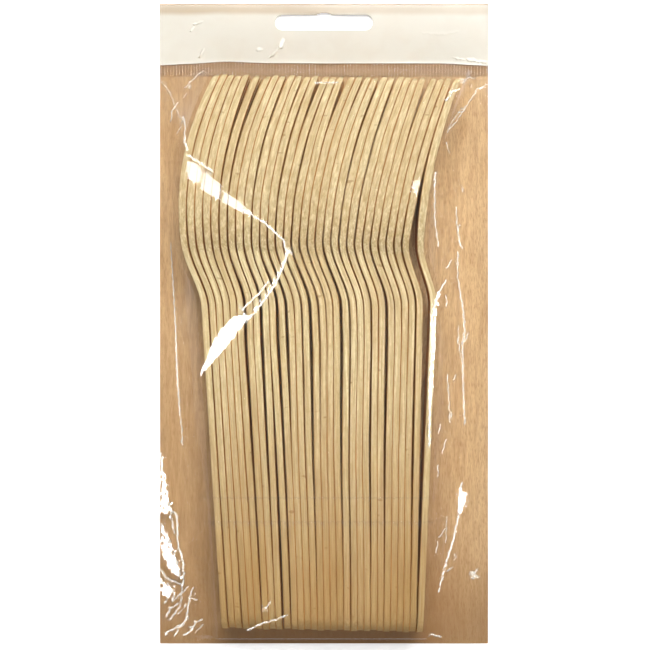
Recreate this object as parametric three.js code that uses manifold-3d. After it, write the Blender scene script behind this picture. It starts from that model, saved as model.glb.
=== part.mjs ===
// Wooden cutlery pack: bent wooden forks stacked on edge between a printed back panel
// and a clear film front, under a folded header strip with a hang slot.
// Millimetres. The pack lies on its back: +X across it, +Y towards the header, +Z up out of the film.
// The origin is the middle of the back, on the surface that the pack lies on.

import * as THREE from "three";
import { mergeVertices } from "three/addons/utils/BufferGeometryUtils.js";
import Module from "manifold-3d";

const wasm = await Module();
wasm.setup();

// The pack's outline and its sheets
const PACK = { width: 100, length: 195 };
const SHEET = 0.2; // thickness of each film
const GAP = 0.1; // clearance between sheets that are welded together
const LAYER = SHEET + GAP;

// The ribbed weld under the header, and how far the bag's two films run up inside the header
const SEAL = { low: 75.6, high: 79.2 };
const TONGUE_TOP = 84;
const HEADER = { low: SEAL.high + 0.2, high: PACK.length / 2, layers: 4 };
const SLOT = { width: 29.8, height: 4.8, y: 91.7, bumpWidth: 4.6, bumpHeight: 0.6 };

// One fork, along its own axis from the handle's end to the tips of the tines
const FORK = {
  count: 30,
  length: 164.4,
  handleHalf: 8.5,
  endRound: 7,
  neckAt: 113,
  neckHalf: 5.5,
  flareAt: 122,
  flareHalf: 11.2,
  shoulderAt: 143,
  shoulderHalf: 13.2,
  headAt: 148,
  headHalf: 13.5,
  tipHalf: 12.2,
};
const TINES = { count: 4, root: 136, slotAtRoot: 2.2, slotAtTip: 3.2, point: 2, blunt: 1.1 };
const THICKNESS = { handle: 1.87, head: 2.3, tip: 2, neckY: 20, headY: 38, tineY: 55 };
const HANDLE_END_Y = -91;
const TIP_Y = HANDLE_END_Y + FORK.length;
const REST_Z = LAYER; // the forks' lower edges lie just clear of the back panel

// The bend that every fork shares: the neck steps back, then the head sweeps forward to the tips
const BEND = { start: 5, knee: 24, setBack: -4.7 };

// How a fork stands in the stack, for the first fork, the last of the tight stack, and the loose one.
// end: X of the handle's end, lean: the handle's slope, sweep and curl: the head's slope and curve
const FIRST = { end: -29.4, lean: -0.062, sweep: -1.5, curl: 15 };
const LAST = { end: 26.4, lean: 0.0206, sweep: 5.3, curl: 6.8 };
const LOOSE = { end: 28.5, lean: 0.0404, sweep: -0.8, curl: 10.2 };

// Rows along the pack where some of the gaps in the stack stand wide or half open.
// A gap has the number of the fork on its left, and every gap that isn't named is nearly closed.
const OPENING = { closed: 1, half: 4, wide: 9 };
const GAP_ROWS = [
  { y: -88, wide: [9], half: [1, 3, 6, 10, 19] },
  { y: -40, wide: [6, 8, 9, 10, 14, 18, 22, 24, 28], half: [1, 2, 5, 13, 19] },
  { y: -5, wide: [6, 8, 10, 11, 14, 18, 24], half: [1, 13, 15, 19, 22, 28] },
  { y: BEND.knee, wide: [], half: [] },
  { y: 48, wide: [5, 6, 9, 12, 14, 20, 22], half: [1, 3, 28] },
  { y: 70, wide: [5, 6, 13, 16, 26], half: [9, 11, 18, 20, 22] },
];

// How far the forks have slid towards the bottom: more to the right, and each a little differently
const SLIDE = { trend: 1.1, uneven: 0.5 };
const GOLDEN = (Math.sqrt(5) - 1) / 2;

// The film's tent over the stack
const FILM = { clear: 0.5, shoulder: 1, rounding: 2.4, endClear: 0.6, bottomBase: -95.4, topBase: 75.2 };

const MATERIALS = {
  wood: new THREE.MeshStandardMaterial({ color: 0xe3c98f, roughness: 0.7, metalness: 0 }),
  film: new THREE.MeshStandardMaterial({
    color: 0xf4f2ee,
    roughness: 0.08,
    metalness: 0,
    transparent: true,
    opacity: 0.18,
  }),
  header: new THREE.MeshStandardMaterial({ color: 0xf5eedf, roughness: 0.3, metalness: 0 }),
  print: new THREE.MeshStandardMaterial({ color: 0xc99a6a, roughness: 0.45, metalness: 0 }),
};

// Solids

function solidOf(geometry) {
  const bare = geometry.clone();
  bare.deleteAttribute("normal");
  bare.deleteAttribute("uv");
  const merged = mergeVertices(bare, 1e-4);
  return new wasm.Manifold(
    new wasm.Mesh({
      numProp: 3,
      vertProperties: new Float32Array(merged.attributes.position.array),
      triVerts: new Uint32Array(merged.index.array),
    }),
  );
}

function meshOf(solid, name, material) {
  const made = solid.getMesh();
  const geometry = new THREE.BufferGeometry();
  geometry.setAttribute("position", new THREE.BufferAttribute(made.vertProperties, 3));
  geometry.setIndex(new THREE.BufferAttribute(made.triVerts, 1));
  geometry.computeVertexNormals();
  const mesh = new THREE.Mesh(geometry, material);
  mesh.name = name;
  return mesh;
}

function extruded(shape, depth, curveSegments) {
  return new THREE.ExtrudeGeometry(shape, { depth, curveSegments, bevelEnabled: false });
}

// An outline drawn in (y, z), run across the whole width of the pack.
function acrossPack(shape, curveSegments) {
  const geometry = extruded(shape, PACK.width, curveSegments);
  geometry.rotateY(Math.PI / 2);
  geometry.rotateX(Math.PI / 2);
  geometry.translate(-PACK.width / 2, 0, 0);
  return geometry;
}

// Forks

function smooth(t) {
  const u = THREE.MathUtils.clamp(t, 0, 1);
  return u * u * (3 - 2 * u);
}

// X of the middle of a fork's thickness at a distance along the pack.
function forkMiddle(stand, y) {
  const neck = BEND.setBack * smooth((y - BEND.start) / (BEND.knee - BEND.start));
  const u = Math.max(0, (y - BEND.knee) / (TIP_Y - BEND.knee));
  const head = stand.sweep * u + stand.curl * u * u;
  return stand.end + stand.lean * (y - HANDLE_END_Y) + neck + head;
}

function forkThickness(y) {
  const { handle, head, tip, neckY, headY, tineY } = THICKNESS;
  const swell = (head - handle) * smooth((y - neckY) / (headY - neckY));
  const taper = (head - tip) * THREE.MathUtils.clamp((y - tineY) / (TIP_Y - tineY), 0, 1);
  return handle + swell - taper;
}

// A golden-ratio sequence keeps neighbours unlike each other, with no two forks quite in line.
function uneven(index, phase) {
  return ((index * GOLDEN + phase) % 1) - 0.5;
}

// The share of the stack's slack that lies left of a fork, in one of the rows.
function slackLeft(row, index) {
  const opening = (gap) => {
    if (row.wide.includes(gap)) return OPENING.wide;
    return row.half.includes(gap) ? OPENING.half : OPENING.closed;
  };
  let left = 0;
  let all = 0;
  for (let gap = 1; gap <= FORK.count - 2; gap++) {
    all += opening(gap);
    if (gap <= index) left += opening(gap);
  }
  return left / all;
}

function slackAt(index, y) {
  const next = GAP_ROWS.findIndex((row) => row.y >= y);
  const to = next < 0 ? GAP_ROWS.length - 1 : next;
  const from = Math.max(0, next < 0 ? to : next - 1);
  const span = GAP_ROWS[to].y - GAP_ROWS[from].y;
  const u = span ? (y - GAP_ROWS[from].y) / span : 0;
  return THREE.MathUtils.lerp(slackLeft(GAP_ROWS[from], index), slackLeft(GAP_ROWS[to], index), u);
}

// X of the middle of one fork of the stack, with the forks and gaps to the left of it added up.
function stackMiddle(index, y) {
  if (index === FORK.count - 1) return forkMiddle(LOOSE, y);
  const first = forkMiddle(FIRST, y);
  const thick = forkThickness(y);
  const slack = forkMiddle(LAST, y) - first - thick * (FORK.count - 2);
  return first + thick * index + slack * slackAt(index, y);
}

// The fork seen on edge: a ribbon that follows the bend, past both ends of the fork.
function bendOutline(index) {
  const past = 4;
  const bends = [-88, -64, -40, -22, -5, BEND.start, 10, 14.5, 19, BEND.knee, 30, 38, 48, 56, 63, 70];
  const stations = [HANDLE_END_Y - past, ...bends, TIP_Y + past];
  const side = (sign) =>
    stations.map((y) => new THREE.Vector2(stackMiddle(index, y) + (sign * forkThickness(y)) / 2, y));
  return new THREE.Shape([...side(1), ...side(-1).reverse()]);
}

// The fork seen flat, in (across, along), with its axis at 0: handle, neck, shoulders and tines.
function flatOutline() {
  const shape = new THREE.Shape();
  const tineAt = (edge) => -FORK.tipHalf + (edge * (2 * FORK.tipHalf + TINES.slotAtTip)) / TINES.count;
  shape.moveTo(0, 0);
  shape.quadraticCurveTo(FORK.handleHalf, 0, FORK.handleHalf, FORK.endRound);
  shape.lineTo(FORK.neckHalf, FORK.neckAt);
  shape.quadraticCurveTo(FORK.flareHalf, FORK.flareAt, FORK.shoulderHalf, FORK.shoulderAt);
  shape.lineTo(FORK.headHalf, FORK.headAt);
  for (let tine = TINES.count - 1; tine >= 0; tine--) {
    const left = tineAt(tine);
    const right = tineAt(tine + 1) - TINES.slotAtTip;
    shape.lineTo(right, FORK.length - TINES.point);
    shape.lineTo(right - TINES.blunt, FORK.length);
    shape.lineTo(left + TINES.blunt, FORK.length);
    shape.lineTo(left, FORK.length - TINES.point);
    if (tine === 0) break;
    const slot = left - TINES.slotAtTip / 2;
    shape.lineTo(slot + TINES.slotAtRoot / 2, TINES.root);
    shape.lineTo(slot - TINES.slotAtRoot / 2, TINES.root);
  }
  shape.lineTo(-FORK.headHalf, FORK.headAt);
  shape.lineTo(-FORK.shoulderHalf, FORK.shoulderAt);
  shape.quadraticCurveTo(-FORK.flareHalf, FORK.flareAt, -FORK.neckHalf, FORK.neckAt);
  shape.lineTo(-FORK.handleHalf, FORK.endRound);
  shape.quadraticCurveTo(-FORK.handleHalf, 0, 0, 0);
  return shape;
}

// The fork lies on the edge of its head and the corner of its handle, so its axis rises to the head.
const FORK_RISE = Math.atan((FORK.headHalf - FORK.handleHalf) / (FORK.headAt - FORK.endRound));

function forkSolid(index) {
  const across = PACK.width;
  const flat = extruded(flatOutline(), across, 4);
  flat.translate(0, -FORK.endRound, -across / 2);
  flat.rotateY(Math.PI / 2);
  flat.rotateX(FORK_RISE);
  const slide = -SLIDE.trend * (index / (FORK.count - 1)) + SLIDE.uneven * (uneven(index, 0.37) - 0.5);
  flat.translate(0, HANDLE_END_Y + FORK.endRound + slide, REST_Z + FORK.handleHalf);
  const reach = 40;
  const bent = extruded(bendOutline(index), reach, 1);
  bent.translate(0, 0, -reach / 4);
  return solidOf(bent).intersect(solidOf(flat));
}

// Sheets

function backPanelSolid() {
  const bottom = -PACK.length / 2;
  const line = [
    [bottom, 0],
    [SEAL.low, 0],
    [SEAL.high, LAYER],
    [TONGUE_TOP, LAYER],
  ];
  const top = line.map(([y, z]) => [y, z + SHEET]).reverse();
  const outline = [...line, ...top].map(([y, z]) => new THREE.Vector2(y, z));
  return solidOf(acrossPack(new THREE.Shape(outline), 1));
}

// A hang slot: a long bar with round ends and a low bump in the middle of its upper side.
function slotSolid() {
  const round = SLOT.height / 2;
  const straight = SLOT.width / 2 - round;
  const bump = SLOT.bumpWidth / 2;
  const shape = new THREE.Shape();
  shape.moveTo(-straight, -round);
  shape.lineTo(straight, -round);
  shape.absarc(straight, 0, round, -Math.PI / 2, Math.PI / 2, false);
  shape.lineTo(bump, round);
  shape.quadraticCurveTo(bump, round + SLOT.bumpHeight, 0, round + SLOT.bumpHeight);
  shape.quadraticCurveTo(-bump, round + SLOT.bumpHeight, -bump, round);
  shape.lineTo(-straight, round);
  shape.absarc(-straight, 0, round, Math.PI / 2, (3 * Math.PI) / 2, false);
  const depth = 6;
  return solidOf(extruded(shape, depth, 6).translate(0, SLOT.y, -depth / 2));
}

// The header is one strip folded over at its top edge, with the bag's films between its leaves.
function headerSolid() {
  const height = HEADER.layers * LAYER - GAP;
  const outer = height / 2;
  const inner = outer - SHEET;
  const fold = HEADER.high - outer;
  const shape = new THREE.Shape();
  shape.moveTo(HEADER.low, 0);
  shape.lineTo(fold, 0);
  shape.absarc(fold, outer, outer, -Math.PI / 2, Math.PI / 2, false);
  shape.lineTo(HEADER.low, height);
  shape.lineTo(HEADER.low, height - SHEET);
  shape.lineTo(fold, height - SHEET);
  shape.absarc(fold, outer, inner, Math.PI / 2, -Math.PI / 2, true);
  shape.lineTo(HEADER.low, SHEET);
  return solidOf(acrossPack(shape, 6)).subtract(slotSolid());
}

// Height of the film's inner side over the stack: high on the heads, slack over the necks, low on the handles.
const RIDGE = [
  { y: HANDLE_END_Y - 2, z: 17.9 },
  { y: -60, z: 18.3 },
  { y: -20, z: 19 },
  { y: 10, z: 21.8 },
  { y: 34, z: 27.3 },
  { y: 56, z: 27.7 },
  { y: TIP_Y, z: 27.2 },
];

function filmHeight(y) {
  const next = RIDGE.findIndex((point) => point.y >= y);
  const from = RIDGE[Math.max(next - 1, 0)];
  const to = RIDGE[next];
  const u = from === to ? 0 : (y - from.y) / (to.y - from.y);
  return THREE.MathUtils.lerp(from.z, to.z, u) + FILM.clear;
}

// Where the film's sides come down to the back panel, beside the handles and beside the heads.
function filmFoot(side, y) {
  const u = smooth((y - HANDLE_END_Y) / (BEND.knee - HANDLE_END_Y));
  return side < 0 ? THREE.MathUtils.lerp(-42.4, -47, u) : THREE.MathUtils.lerp(38, 44, u);
}

// One cross-section of the film, from its left edge to its right edge.
function filmRow(y) {
  const edge = PACK.width / 2;
  const half = forkThickness(y) / 2 + FILM.shoulder;
  const reach = THREE.MathUtils.clamp(y, HANDLE_END_Y, TIP_Y);
  const left = forkMiddle(FIRST, reach) - half;
  const right = forkMiddle(LOOSE, reach) + half;
  const top = filmHeight(reach);
  return [
    [-edge, LAYER],
    [filmFoot(-1, y), LAYER],
    [left, top - FILM.clear],
    [left + FILM.rounding, top],
    [(left + right) / 2, top],
    [right - FILM.rounding, top],
    [right, top - FILM.clear],
    [filmFoot(1, y), LAYER],
    [edge, LAYER],
  ].map(([x, z]) => new THREE.Vector3(x, y, z));
}

// A row of the same points laid flat on the back panel, for the film's welded ends.
function flatRow(y, like, z) {
  return filmRow(like).map((p) => new THREE.Vector3(p.x, y, z));
}

// A sheet of even thickness grown outwards from a grid of points.
function sheetSolid(rows) {
  const across = rows[0].length;
  const at = (r, c) =>
    rows[THREE.MathUtils.clamp(r, 0, rows.length - 1)][THREE.MathUtils.clamp(c, 0, across - 1)];
  const outward = (r, c) => {
    const alongX = at(r, c + 1).clone().sub(at(r, c - 1)).normalize();
    const alongY = at(r + 1, c).clone().sub(at(r - 1, c)).normalize();
    return alongX.cross(alongY).normalize();
  };
  const inner = rows.flat();
  const outer = rows.flatMap((row, r) => row.map((p, c) => p.clone().addScaledVector(outward(r, c), SHEET)));
  const index = [];
  const quad = (a, b, c, d) => index.push(a, b, c, a, c, d);
  const id = (r, c, layer) => layer * inner.length + r * across + c;
  for (let r = 0; r < rows.length - 1; r++) {
    for (let c = 0; c < across - 1; c++) {
      quad(id(r, c, 1), id(r, c + 1, 1), id(r + 1, c + 1, 1), id(r + 1, c, 1));
      quad(id(r, c, 0), id(r + 1, c, 0), id(r + 1, c + 1, 0), id(r, c + 1, 0));
    }
    quad(id(r, 0, 0), id(r, 0, 1), id(r + 1, 0, 1), id(r + 1, 0, 0));
    quad(id(r + 1, across - 1, 0), id(r + 1, across - 1, 1), id(r, across - 1, 1), id(r, across - 1, 0));
  }
  const last = rows.length - 1;
  for (let c = 0; c < across - 1; c++) {
    quad(id(0, c + 1, 0), id(0, c + 1, 1), id(0, c, 1), id(0, c, 0));
    quad(id(last, c, 0), id(last, c, 1), id(last, c + 1, 1), id(last, c + 1, 0));
  }
  const geometry = new THREE.BufferGeometry().setFromPoints([...inner, ...outer]);
  geometry.setIndex(index);
  return solidOf(geometry);
}

function frontFilmSolid() {
  const bottom = HANDLE_END_Y - SLIDE.trend - SLIDE.uneven - FILM.endClear;
  const top = TIP_Y + FILM.endClear;
  const tented = [bottom, -60, -20, 4, 14, BEND.knee, 34, 46, 60, top];
  return sheetSolid([
    flatRow(-PACK.length / 2, bottom, LAYER),
    flatRow(FILM.bottomBase, bottom, LAYER),
    ...tented.map(filmRow),
    flatRow(FILM.topBase, top, LAYER),
    flatRow(SEAL.low, top, LAYER),
    flatRow(SEAL.high, top, 2 * LAYER),
    flatRow(TONGUE_TOP, top, 2 * LAYER),
  ]);
}

// The pack

const pack = new THREE.Group();
pack.add(meshOf(backPanelSolid(), "back_panel", MATERIALS.print));
pack.add(meshOf(frontFilmSolid(), "front_film", MATERIALS.film));
pack.add(meshOf(headerSolid(), "header", MATERIALS.header));

const stack = new THREE.Group();
for (let index = 0; index < FORK.count; index++) {
  const name = `fork_${String(index + 1).padStart(2, "0")}`;
  stack.add(meshOf(forkSolid(index), name, MATERIALS.wood));
}
pack.add(stack);

export default pack;
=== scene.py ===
"""Looks of a wooden cutlery pack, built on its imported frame.

The pack lies on its back: +X runs across it, +Y towards its header, and +Z up out of its clear front.
Sizes are in millimetres, and become metres where a mesh is written.
"""

import logging
import math
from dataclasses import dataclass
from enum import Enum

import bpy
import numpy as np
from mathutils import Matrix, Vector, noise

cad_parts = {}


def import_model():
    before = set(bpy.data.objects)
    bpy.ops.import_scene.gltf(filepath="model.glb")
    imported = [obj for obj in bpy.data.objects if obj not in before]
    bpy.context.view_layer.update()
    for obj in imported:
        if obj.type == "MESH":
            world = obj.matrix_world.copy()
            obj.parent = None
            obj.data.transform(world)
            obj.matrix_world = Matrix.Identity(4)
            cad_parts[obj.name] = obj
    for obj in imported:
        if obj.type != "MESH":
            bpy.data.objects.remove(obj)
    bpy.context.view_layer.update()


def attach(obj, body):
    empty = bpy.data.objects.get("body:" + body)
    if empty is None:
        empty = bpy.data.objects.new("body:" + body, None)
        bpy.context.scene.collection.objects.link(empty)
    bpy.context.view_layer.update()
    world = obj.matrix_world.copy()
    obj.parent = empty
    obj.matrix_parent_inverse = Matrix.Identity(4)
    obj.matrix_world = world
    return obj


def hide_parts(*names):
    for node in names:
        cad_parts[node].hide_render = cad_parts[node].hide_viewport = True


MM = 0.001
BODY = "root"
GOLDEN = (math.sqrt(5) - 1) / 2
LOG = logging.getLogger("cutlery_pack")

Pair = tuple[float, float]
Triple = tuple[float, float, float]
Colour = Triple
Source = bpy.types.NodeSocket | float | tuple[float, ...]
WHITE: Colour = (1.0, 1.0, 1.0)

# Half of the pack's width, and Y of its lower edge
HALF_WIDTH = 50.0
BOTTOM = -97.5

# Where the camera stands over the pack, in millimetres
EYE = (0.3, -0.4, 600.0)

# The ribs of the weld under the header: their pitch, and how they drift along it
RIB_PITCH = 0.9
RIB_DRIFT = 0.5
RIB_DRIFT_RATE = 0.31


class Slot(Enum):
    """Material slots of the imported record."""

    FORK = "fork_wood"
    FILM = "clear_film"
    HEADER = "header_film"
    PRINT = "wood_print"


class Mark(Enum):
    """Attributes that the meshes carry for their materials."""

    GRAIN = "grain_place"
    # Each fork's own colour, plus painted shade that darkens the handles towards their ends
    TONE_AND_SHADE = "tone_and_shade"
    # Place through a fork's thickness, which steers the painted shade in the gaps between forks
    SKIN = "skin_place"
    # Whiteness along film creases: part crease whitening, part painted glint
    HAZE_AND_GLINT = "haze_and_glint"


class Lights(Enum):
    """What a lamp is for: all of the light, or only the glints, or only the soft light."""

    ALL = "all"
    GLINTS = "glints"
    SOFT = "soft"


# Mesh tools


def deselect_all() -> None:
    """Leaves nothing selected and no object in edit mode."""
    if bpy.context.object and bpy.context.object.mode != "OBJECT":
        bpy.ops.object.mode_set(mode="OBJECT")
    bpy.ops.object.select_all(action="DESELECT")


def make_active(piece: bpy.types.Object) -> None:
    """Selects one object alone and makes it the active one.

    Args:
        piece: The object to work on.
    """
    deselect_all()
    piece.select_set(True)
    bpy.context.view_layer.objects.active = piece


def add_grid(name: str, columns: int, rows: int) -> bpy.types.Object:
    """Adds a flat grid that later steps shape.

    Args:
        name: The piece's name.
        columns: Number of faces along X.
        rows: Number of faces along Y.

    Returns:
        The new object, one metre on a side and centred on the origin.
    """
    deselect_all()
    bpy.ops.mesh.primitive_grid_add(x_subdivisions=columns, y_subdivisions=rows, size=1)
    piece = bpy.context.object
    piece.name = name
    piece.data.name = name
    return piece


def read_points(mesh: bpy.types.Mesh) -> np.ndarray:
    """Reads a mesh's vertices.

    Args:
        mesh: The mesh to read.

    Returns:
        An array of one row of X, Y and Z for each vertex.
    """
    points = np.empty(len(mesh.vertices) * 3)
    mesh.vertices.foreach_get("co", points)
    return points.reshape(-1, 3)


def write_points(mesh: bpy.types.Mesh, points: np.ndarray) -> None:
    """Moves a mesh's vertices.

    Args:
        mesh: The mesh to change.
        points: One row of X, Y and Z for each vertex.
    """
    mesh.vertices.foreach_set("co", points.astype(float).ravel())
    mesh.update()


def write_mark(mesh: bpy.types.Mesh, mark: Mark, values: np.ndarray) -> None:
    """Stores an attribute on a mesh's vertices.

    Args:
        mesh: The mesh that carries it.
        mark: Which attribute it is.
        values: One number, or one row of three, for each vertex.
    """
    vector = values.ndim == 2
    kind = "FLOAT_VECTOR" if vector else "FLOAT"
    attribute = mesh.attributes.new(mark.value, kind, "POINT")
    attribute.data.foreach_set("vector" if vector else "value", values.astype(float).ravel())


def apply_modifier(piece: bpy.types.Object, kind: str, **settings: object) -> None:
    """Adds a modifier to a piece and applies it.

    Args:
        piece: The object to change.
        kind: The modifier's type, such as SOLIDIFY.
        settings: Values for the modifier's own properties.
    """
    make_active(piece)
    modifier = piece.modifiers.new(kind.title(), kind)
    for name, value in settings.items():
        setattr(modifier, name, value)
    bpy.ops.object.modifier_apply(modifier=modifier.name)


def select_faces(piece: bpy.types.Object, chosen: np.ndarray) -> None:
    """Goes into edit mode with only some faces selected.

    Args:
        piece: The object to edit.
        chosen: One true or false value for each face.
    """
    make_active(piece)
    bpy.ops.object.mode_set(mode="EDIT")
    bpy.ops.mesh.select_mode(type="FACE")
    bpy.ops.mesh.select_all(action="DESELECT")
    bpy.ops.object.mode_set(mode="OBJECT")
    piece.data.polygons.foreach_set("select", chosen)
    bpy.ops.object.mode_set(mode="EDIT")


def face_middles(mesh: bpy.types.Mesh) -> np.ndarray:
    """Reads the middle of each face.

    Args:
        mesh: The mesh to read.

    Returns:
        An array of one row of X, Y and Z for each face.
    """
    middles = np.empty(len(mesh.polygons) * 3)
    mesh.polygons.foreach_get("center", middles)
    return middles.reshape(-1, 3)


def smooth_shade(piece: bpy.types.Object, degrees: float) -> None:
    """Shades a piece smooth, except across its sharp edges.

    Args:
        piece: The object to shade.
        degrees: The angle past which an edge stays sharp.
    """
    make_active(piece)
    bpy.ops.object.shade_smooth_by_angle(angle=math.radians(degrees))


def finish_piece(piece: bpy.types.Object, slot: Slot, material: bpy.types.Material, *nodes: str) -> None:
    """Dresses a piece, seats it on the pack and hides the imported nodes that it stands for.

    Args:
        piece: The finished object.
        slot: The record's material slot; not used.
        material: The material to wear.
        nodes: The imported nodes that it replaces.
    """
    piece.data.materials.clear()
    piece.data.materials.append(material)
    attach(piece, BODY)
    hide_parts(*nodes)
    LOG.info("%s: %d faces", piece.name, len(piece.data.polygons))


def ease(share: np.ndarray | float) -> np.ndarray | float:
    """Eases a share from 0 to 1, flat at both ends.

    Args:
        share: Any number or array; it is held between 0 and 1.

    Returns:
        The eased share.
    """
    held = np.clip(share, 0, 1)
    return held * held * (3 - 2 * held)


def follow(line: tuple[Pair, ...], places: np.ndarray) -> np.ndarray:
    """Reads a line of points, straight from each to the next.

    Args:
        line: Pairs of a place and the value there.
        places: Where to read it.

    Returns:
        The value at each place.
    """
    return np.interp(places, *zip(*line))


# Node tools


class Graph:
    """A node tree under construction, with the few steps that the materials need."""

    def __init__(self, tree: bpy.types.NodeTree) -> None:
        """Starts on a tree with no nodes.

        Args:
            tree: The tree to fill.
        """
        self.tree = tree
        tree.nodes.clear()

    def node(self, kind: str, **settings: object) -> bpy.types.Node:
        """Adds a node.

        Args:
            kind: The node's type name.
            settings: Values for its own properties.

        Returns:
            The new node.
        """
        made = self.tree.nodes.new(kind)
        for name, value in settings.items():
            setattr(made, name, value)
        return made

    def feed(self, target: bpy.types.NodeSocket, source: Source) -> None:
        """Links a socket to an input, or sets the input to a plain value.

        Args:
            target: The input.
            source: An output socket, a number, or a tuple.
        """
        if isinstance(source, bpy.types.NodeSocket):
            self.tree.links.new(source, target)
        else:
            target.default_value = source

    def chain(self, kind: str, *sources: Source, **settings: object) -> bpy.types.NodeSocket:
        """Adds a node and feeds its inputs in order.

        Args:
            kind: The node's type name.
            sources: What its inputs take, from the first.
            settings: Values for its own properties.

        Returns:
            Its first output.
        """
        made = self.node(kind, **settings)
        for socket, source in zip(made.inputs, sources):
            self.feed(socket, source)
        return made.outputs[0]

    def maths(self, operation: str, *values: Source) -> bpy.types.NodeSocket:
        """Adds a Math node.

        Args:
            operation: What it does, such as MULTIPLY.
            values: One, two or three values.

        Returns:
            Its result.
        """
        return self.chain("ShaderNodeMath", *values, operation=operation)

    def product(self, first: Source, *others: Source) -> Source:
        """Multiplies values.

        Args:
            first: The first value.
            others: What it is multiplied by, if anything.

        Returns:
            The product.
        """
        for other in others:
            first = self.maths("MULTIPLY", first, other)
        return first

    def line(self, value: Source, start: Source, rise: float) -> bpy.types.NodeSocket:
        """Puts a value on a straight line.

        Args:
            value: The value.
            start: What 0 becomes.
            rise: How much more 1 becomes.

        Returns:
            The result.
        """
        return self.maths("MULTIPLY_ADD", value, rise, start)

    def spread(self, value: Source, low: float, high: float) -> bpy.types.NodeSocket:
        """Stretches a range of a value to 0 to 1, with a soft start and end.

        Args:
            value: The value to stretch.
            low: What becomes 0.
            high: What becomes 1.

        Returns:
            The stretched value.
        """
        return self.chain("ShaderNodeMapRange", value, low, high, interpolation_type="SMOOTHSTEP")

    def tint(self, colour: Source, other: Source, *shares: Source) -> bpy.types.NodeSocket:
        """Mixes some of another colour into a colour.

        Args:
            colour: The colour to start from.
            other: The colour to mix in.
            shares: Masks and factors, whose product is how much of it.

        Returns:
            The mixed colour.
        """
        made = self.node("ShaderNodeMix", data_type="RGBA")
        self.feed(made.inputs[0], self.product(*shares))
        for socket, given in ((made.inputs[6], colour), (made.inputs[7], other)):
            self.feed(socket, given if isinstance(given, bpy.types.NodeSocket) else (*given, 1.0))
        return made.outputs[2]

    def scaled(self, vector: bpy.types.NodeSocket, by: Source) -> bpy.types.NodeSocket:
        """Scales a vector along each axis.

        Args:
            vector: The vector to scale.
            by: The three factors, as a tuple or a socket.

        Returns:
            The scaled vector.
        """
        return self.chain("ShaderNodeVectorMath", vector, by, operation="MULTIPLY")

    def clouds(self, vector: bpy.types.NodeSocket, detail: float = 3.0) -> bpy.types.NodeSocket:
        """Adds a noise texture.

        Args:
            vector: Where it is read.
            detail: How many finer layers it has.

        Returns:
            Its value, about 0.5 on the whole.
        """
        made = self.node("ShaderNodeTexNoise")
        self.feed(made.inputs["Vector"], vector)
        made.inputs["Detail"].default_value = detail
        made.inputs["Scale"].default_value = 1.0
        return made.outputs[0]

    def attribute(self, mark: Mark, output: str = "Fac") -> bpy.types.NodeSocket:
        """Reads one of the meshes' attributes.

        Args:
            mark: Which attribute.
            output: Fac for a number, Vector for three.

        Returns:
            The attribute's value.
        """
        return self.node("ShaderNodeAttribute", attribute_name=mark.value).outputs[output]

    def place_mm(self) -> bpy.types.NodeSocket:
        """Gives Object coordinates in millimetres."""
        return self.scaled(self.node("ShaderNodeTexCoord").outputs["Object"], (1 / MM, 1 / MM, 1 / MM))

    def axes(self, vector: bpy.types.NodeSocket) -> tuple[bpy.types.NodeSocket, ...]:
        """Splits a vector into X, Y and Z.

        Args:
            vector: The vector to split.

        Returns:
            The three numbers.
        """
        made = self.node("ShaderNodeSeparateXYZ")
        self.feed(made.inputs[0], vector)
        return tuple(made.outputs)

    def lobe(self, kind: str, colour: Colour = WHITE, **inputs: Source) -> bpy.types.NodeSocket:
        """Adds a plain shader.

        Args:
            kind: The shader's type name.
            colour: Its colour.
            inputs: What its other inputs take, by name.

        Returns:
            The shader.
        """
        made = self.node(kind)
        made.inputs["Color"].default_value = (*colour, 1.0)
        for name, source in inputs.items():
            self.feed(made.inputs[name], source)
        return made.outputs[0]

    def show(self, shader: bpy.types.NodeSocket, output: str = "ShaderNodeOutputMaterial") -> None:
        """Wires a shader to the tree's output.

        Args:
            shader: The shader to show.
            output: The output's type name.
        """
        self.feed(self.node(output).inputs["Surface"], shader)

    def principled(self, colour: Source, roughness: Source, specular: float) -> bpy.types.Node:
        """Adds the surface's main shader and shows it.

        Args:
            colour: Its colour.
            roughness: How dull it is.
            specular: How strongly it mirrors.

        Returns:
            The shader's node.
        """
        made = self.node("ShaderNodeBsdfPrincipled")
        self.feed(made.inputs["Base Color"], colour)
        self.feed(made.inputs["Roughness"], roughness)
        made.inputs["Specular IOR Level"].default_value = specular
        self.show(made.outputs[0])
        return made


def new_graph(name: str) -> tuple[bpy.types.Material, Graph]:
    """Makes an empty material.

    Args:
        name: The material's name.

    Returns:
        The material and the graph of its nodes.
    """
    material = bpy.data.materials.new(name)
    material.use_nodes = True
    return material, Graph(material.node_tree)


@dataclass(frozen=True)
class Blotches:
    """Soft spots: how many to a millimetre along each axis, their detail, and the span of the noise."""

    often: Triple
    detail: float
    span: Pair

    def mask(self, graph: Graph, place: bpy.types.NodeSocket) -> bpy.types.NodeSocket:
        """Puts the spots in a material.

        Args:
            graph: The material's graph.
            place: Where they are read, in millimetres.

        Returns:
            A mask, 1 on the spots.
        """
        return graph.spread(graph.clouds(graph.scaled(place, self.often), self.detail), *self.span)


# How softly each mask of the grain comes and goes
GRAIN_SOFTNESS = {"Figure": 0.12, "Streaks": 0.2, "Fibres": 0.25}


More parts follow.
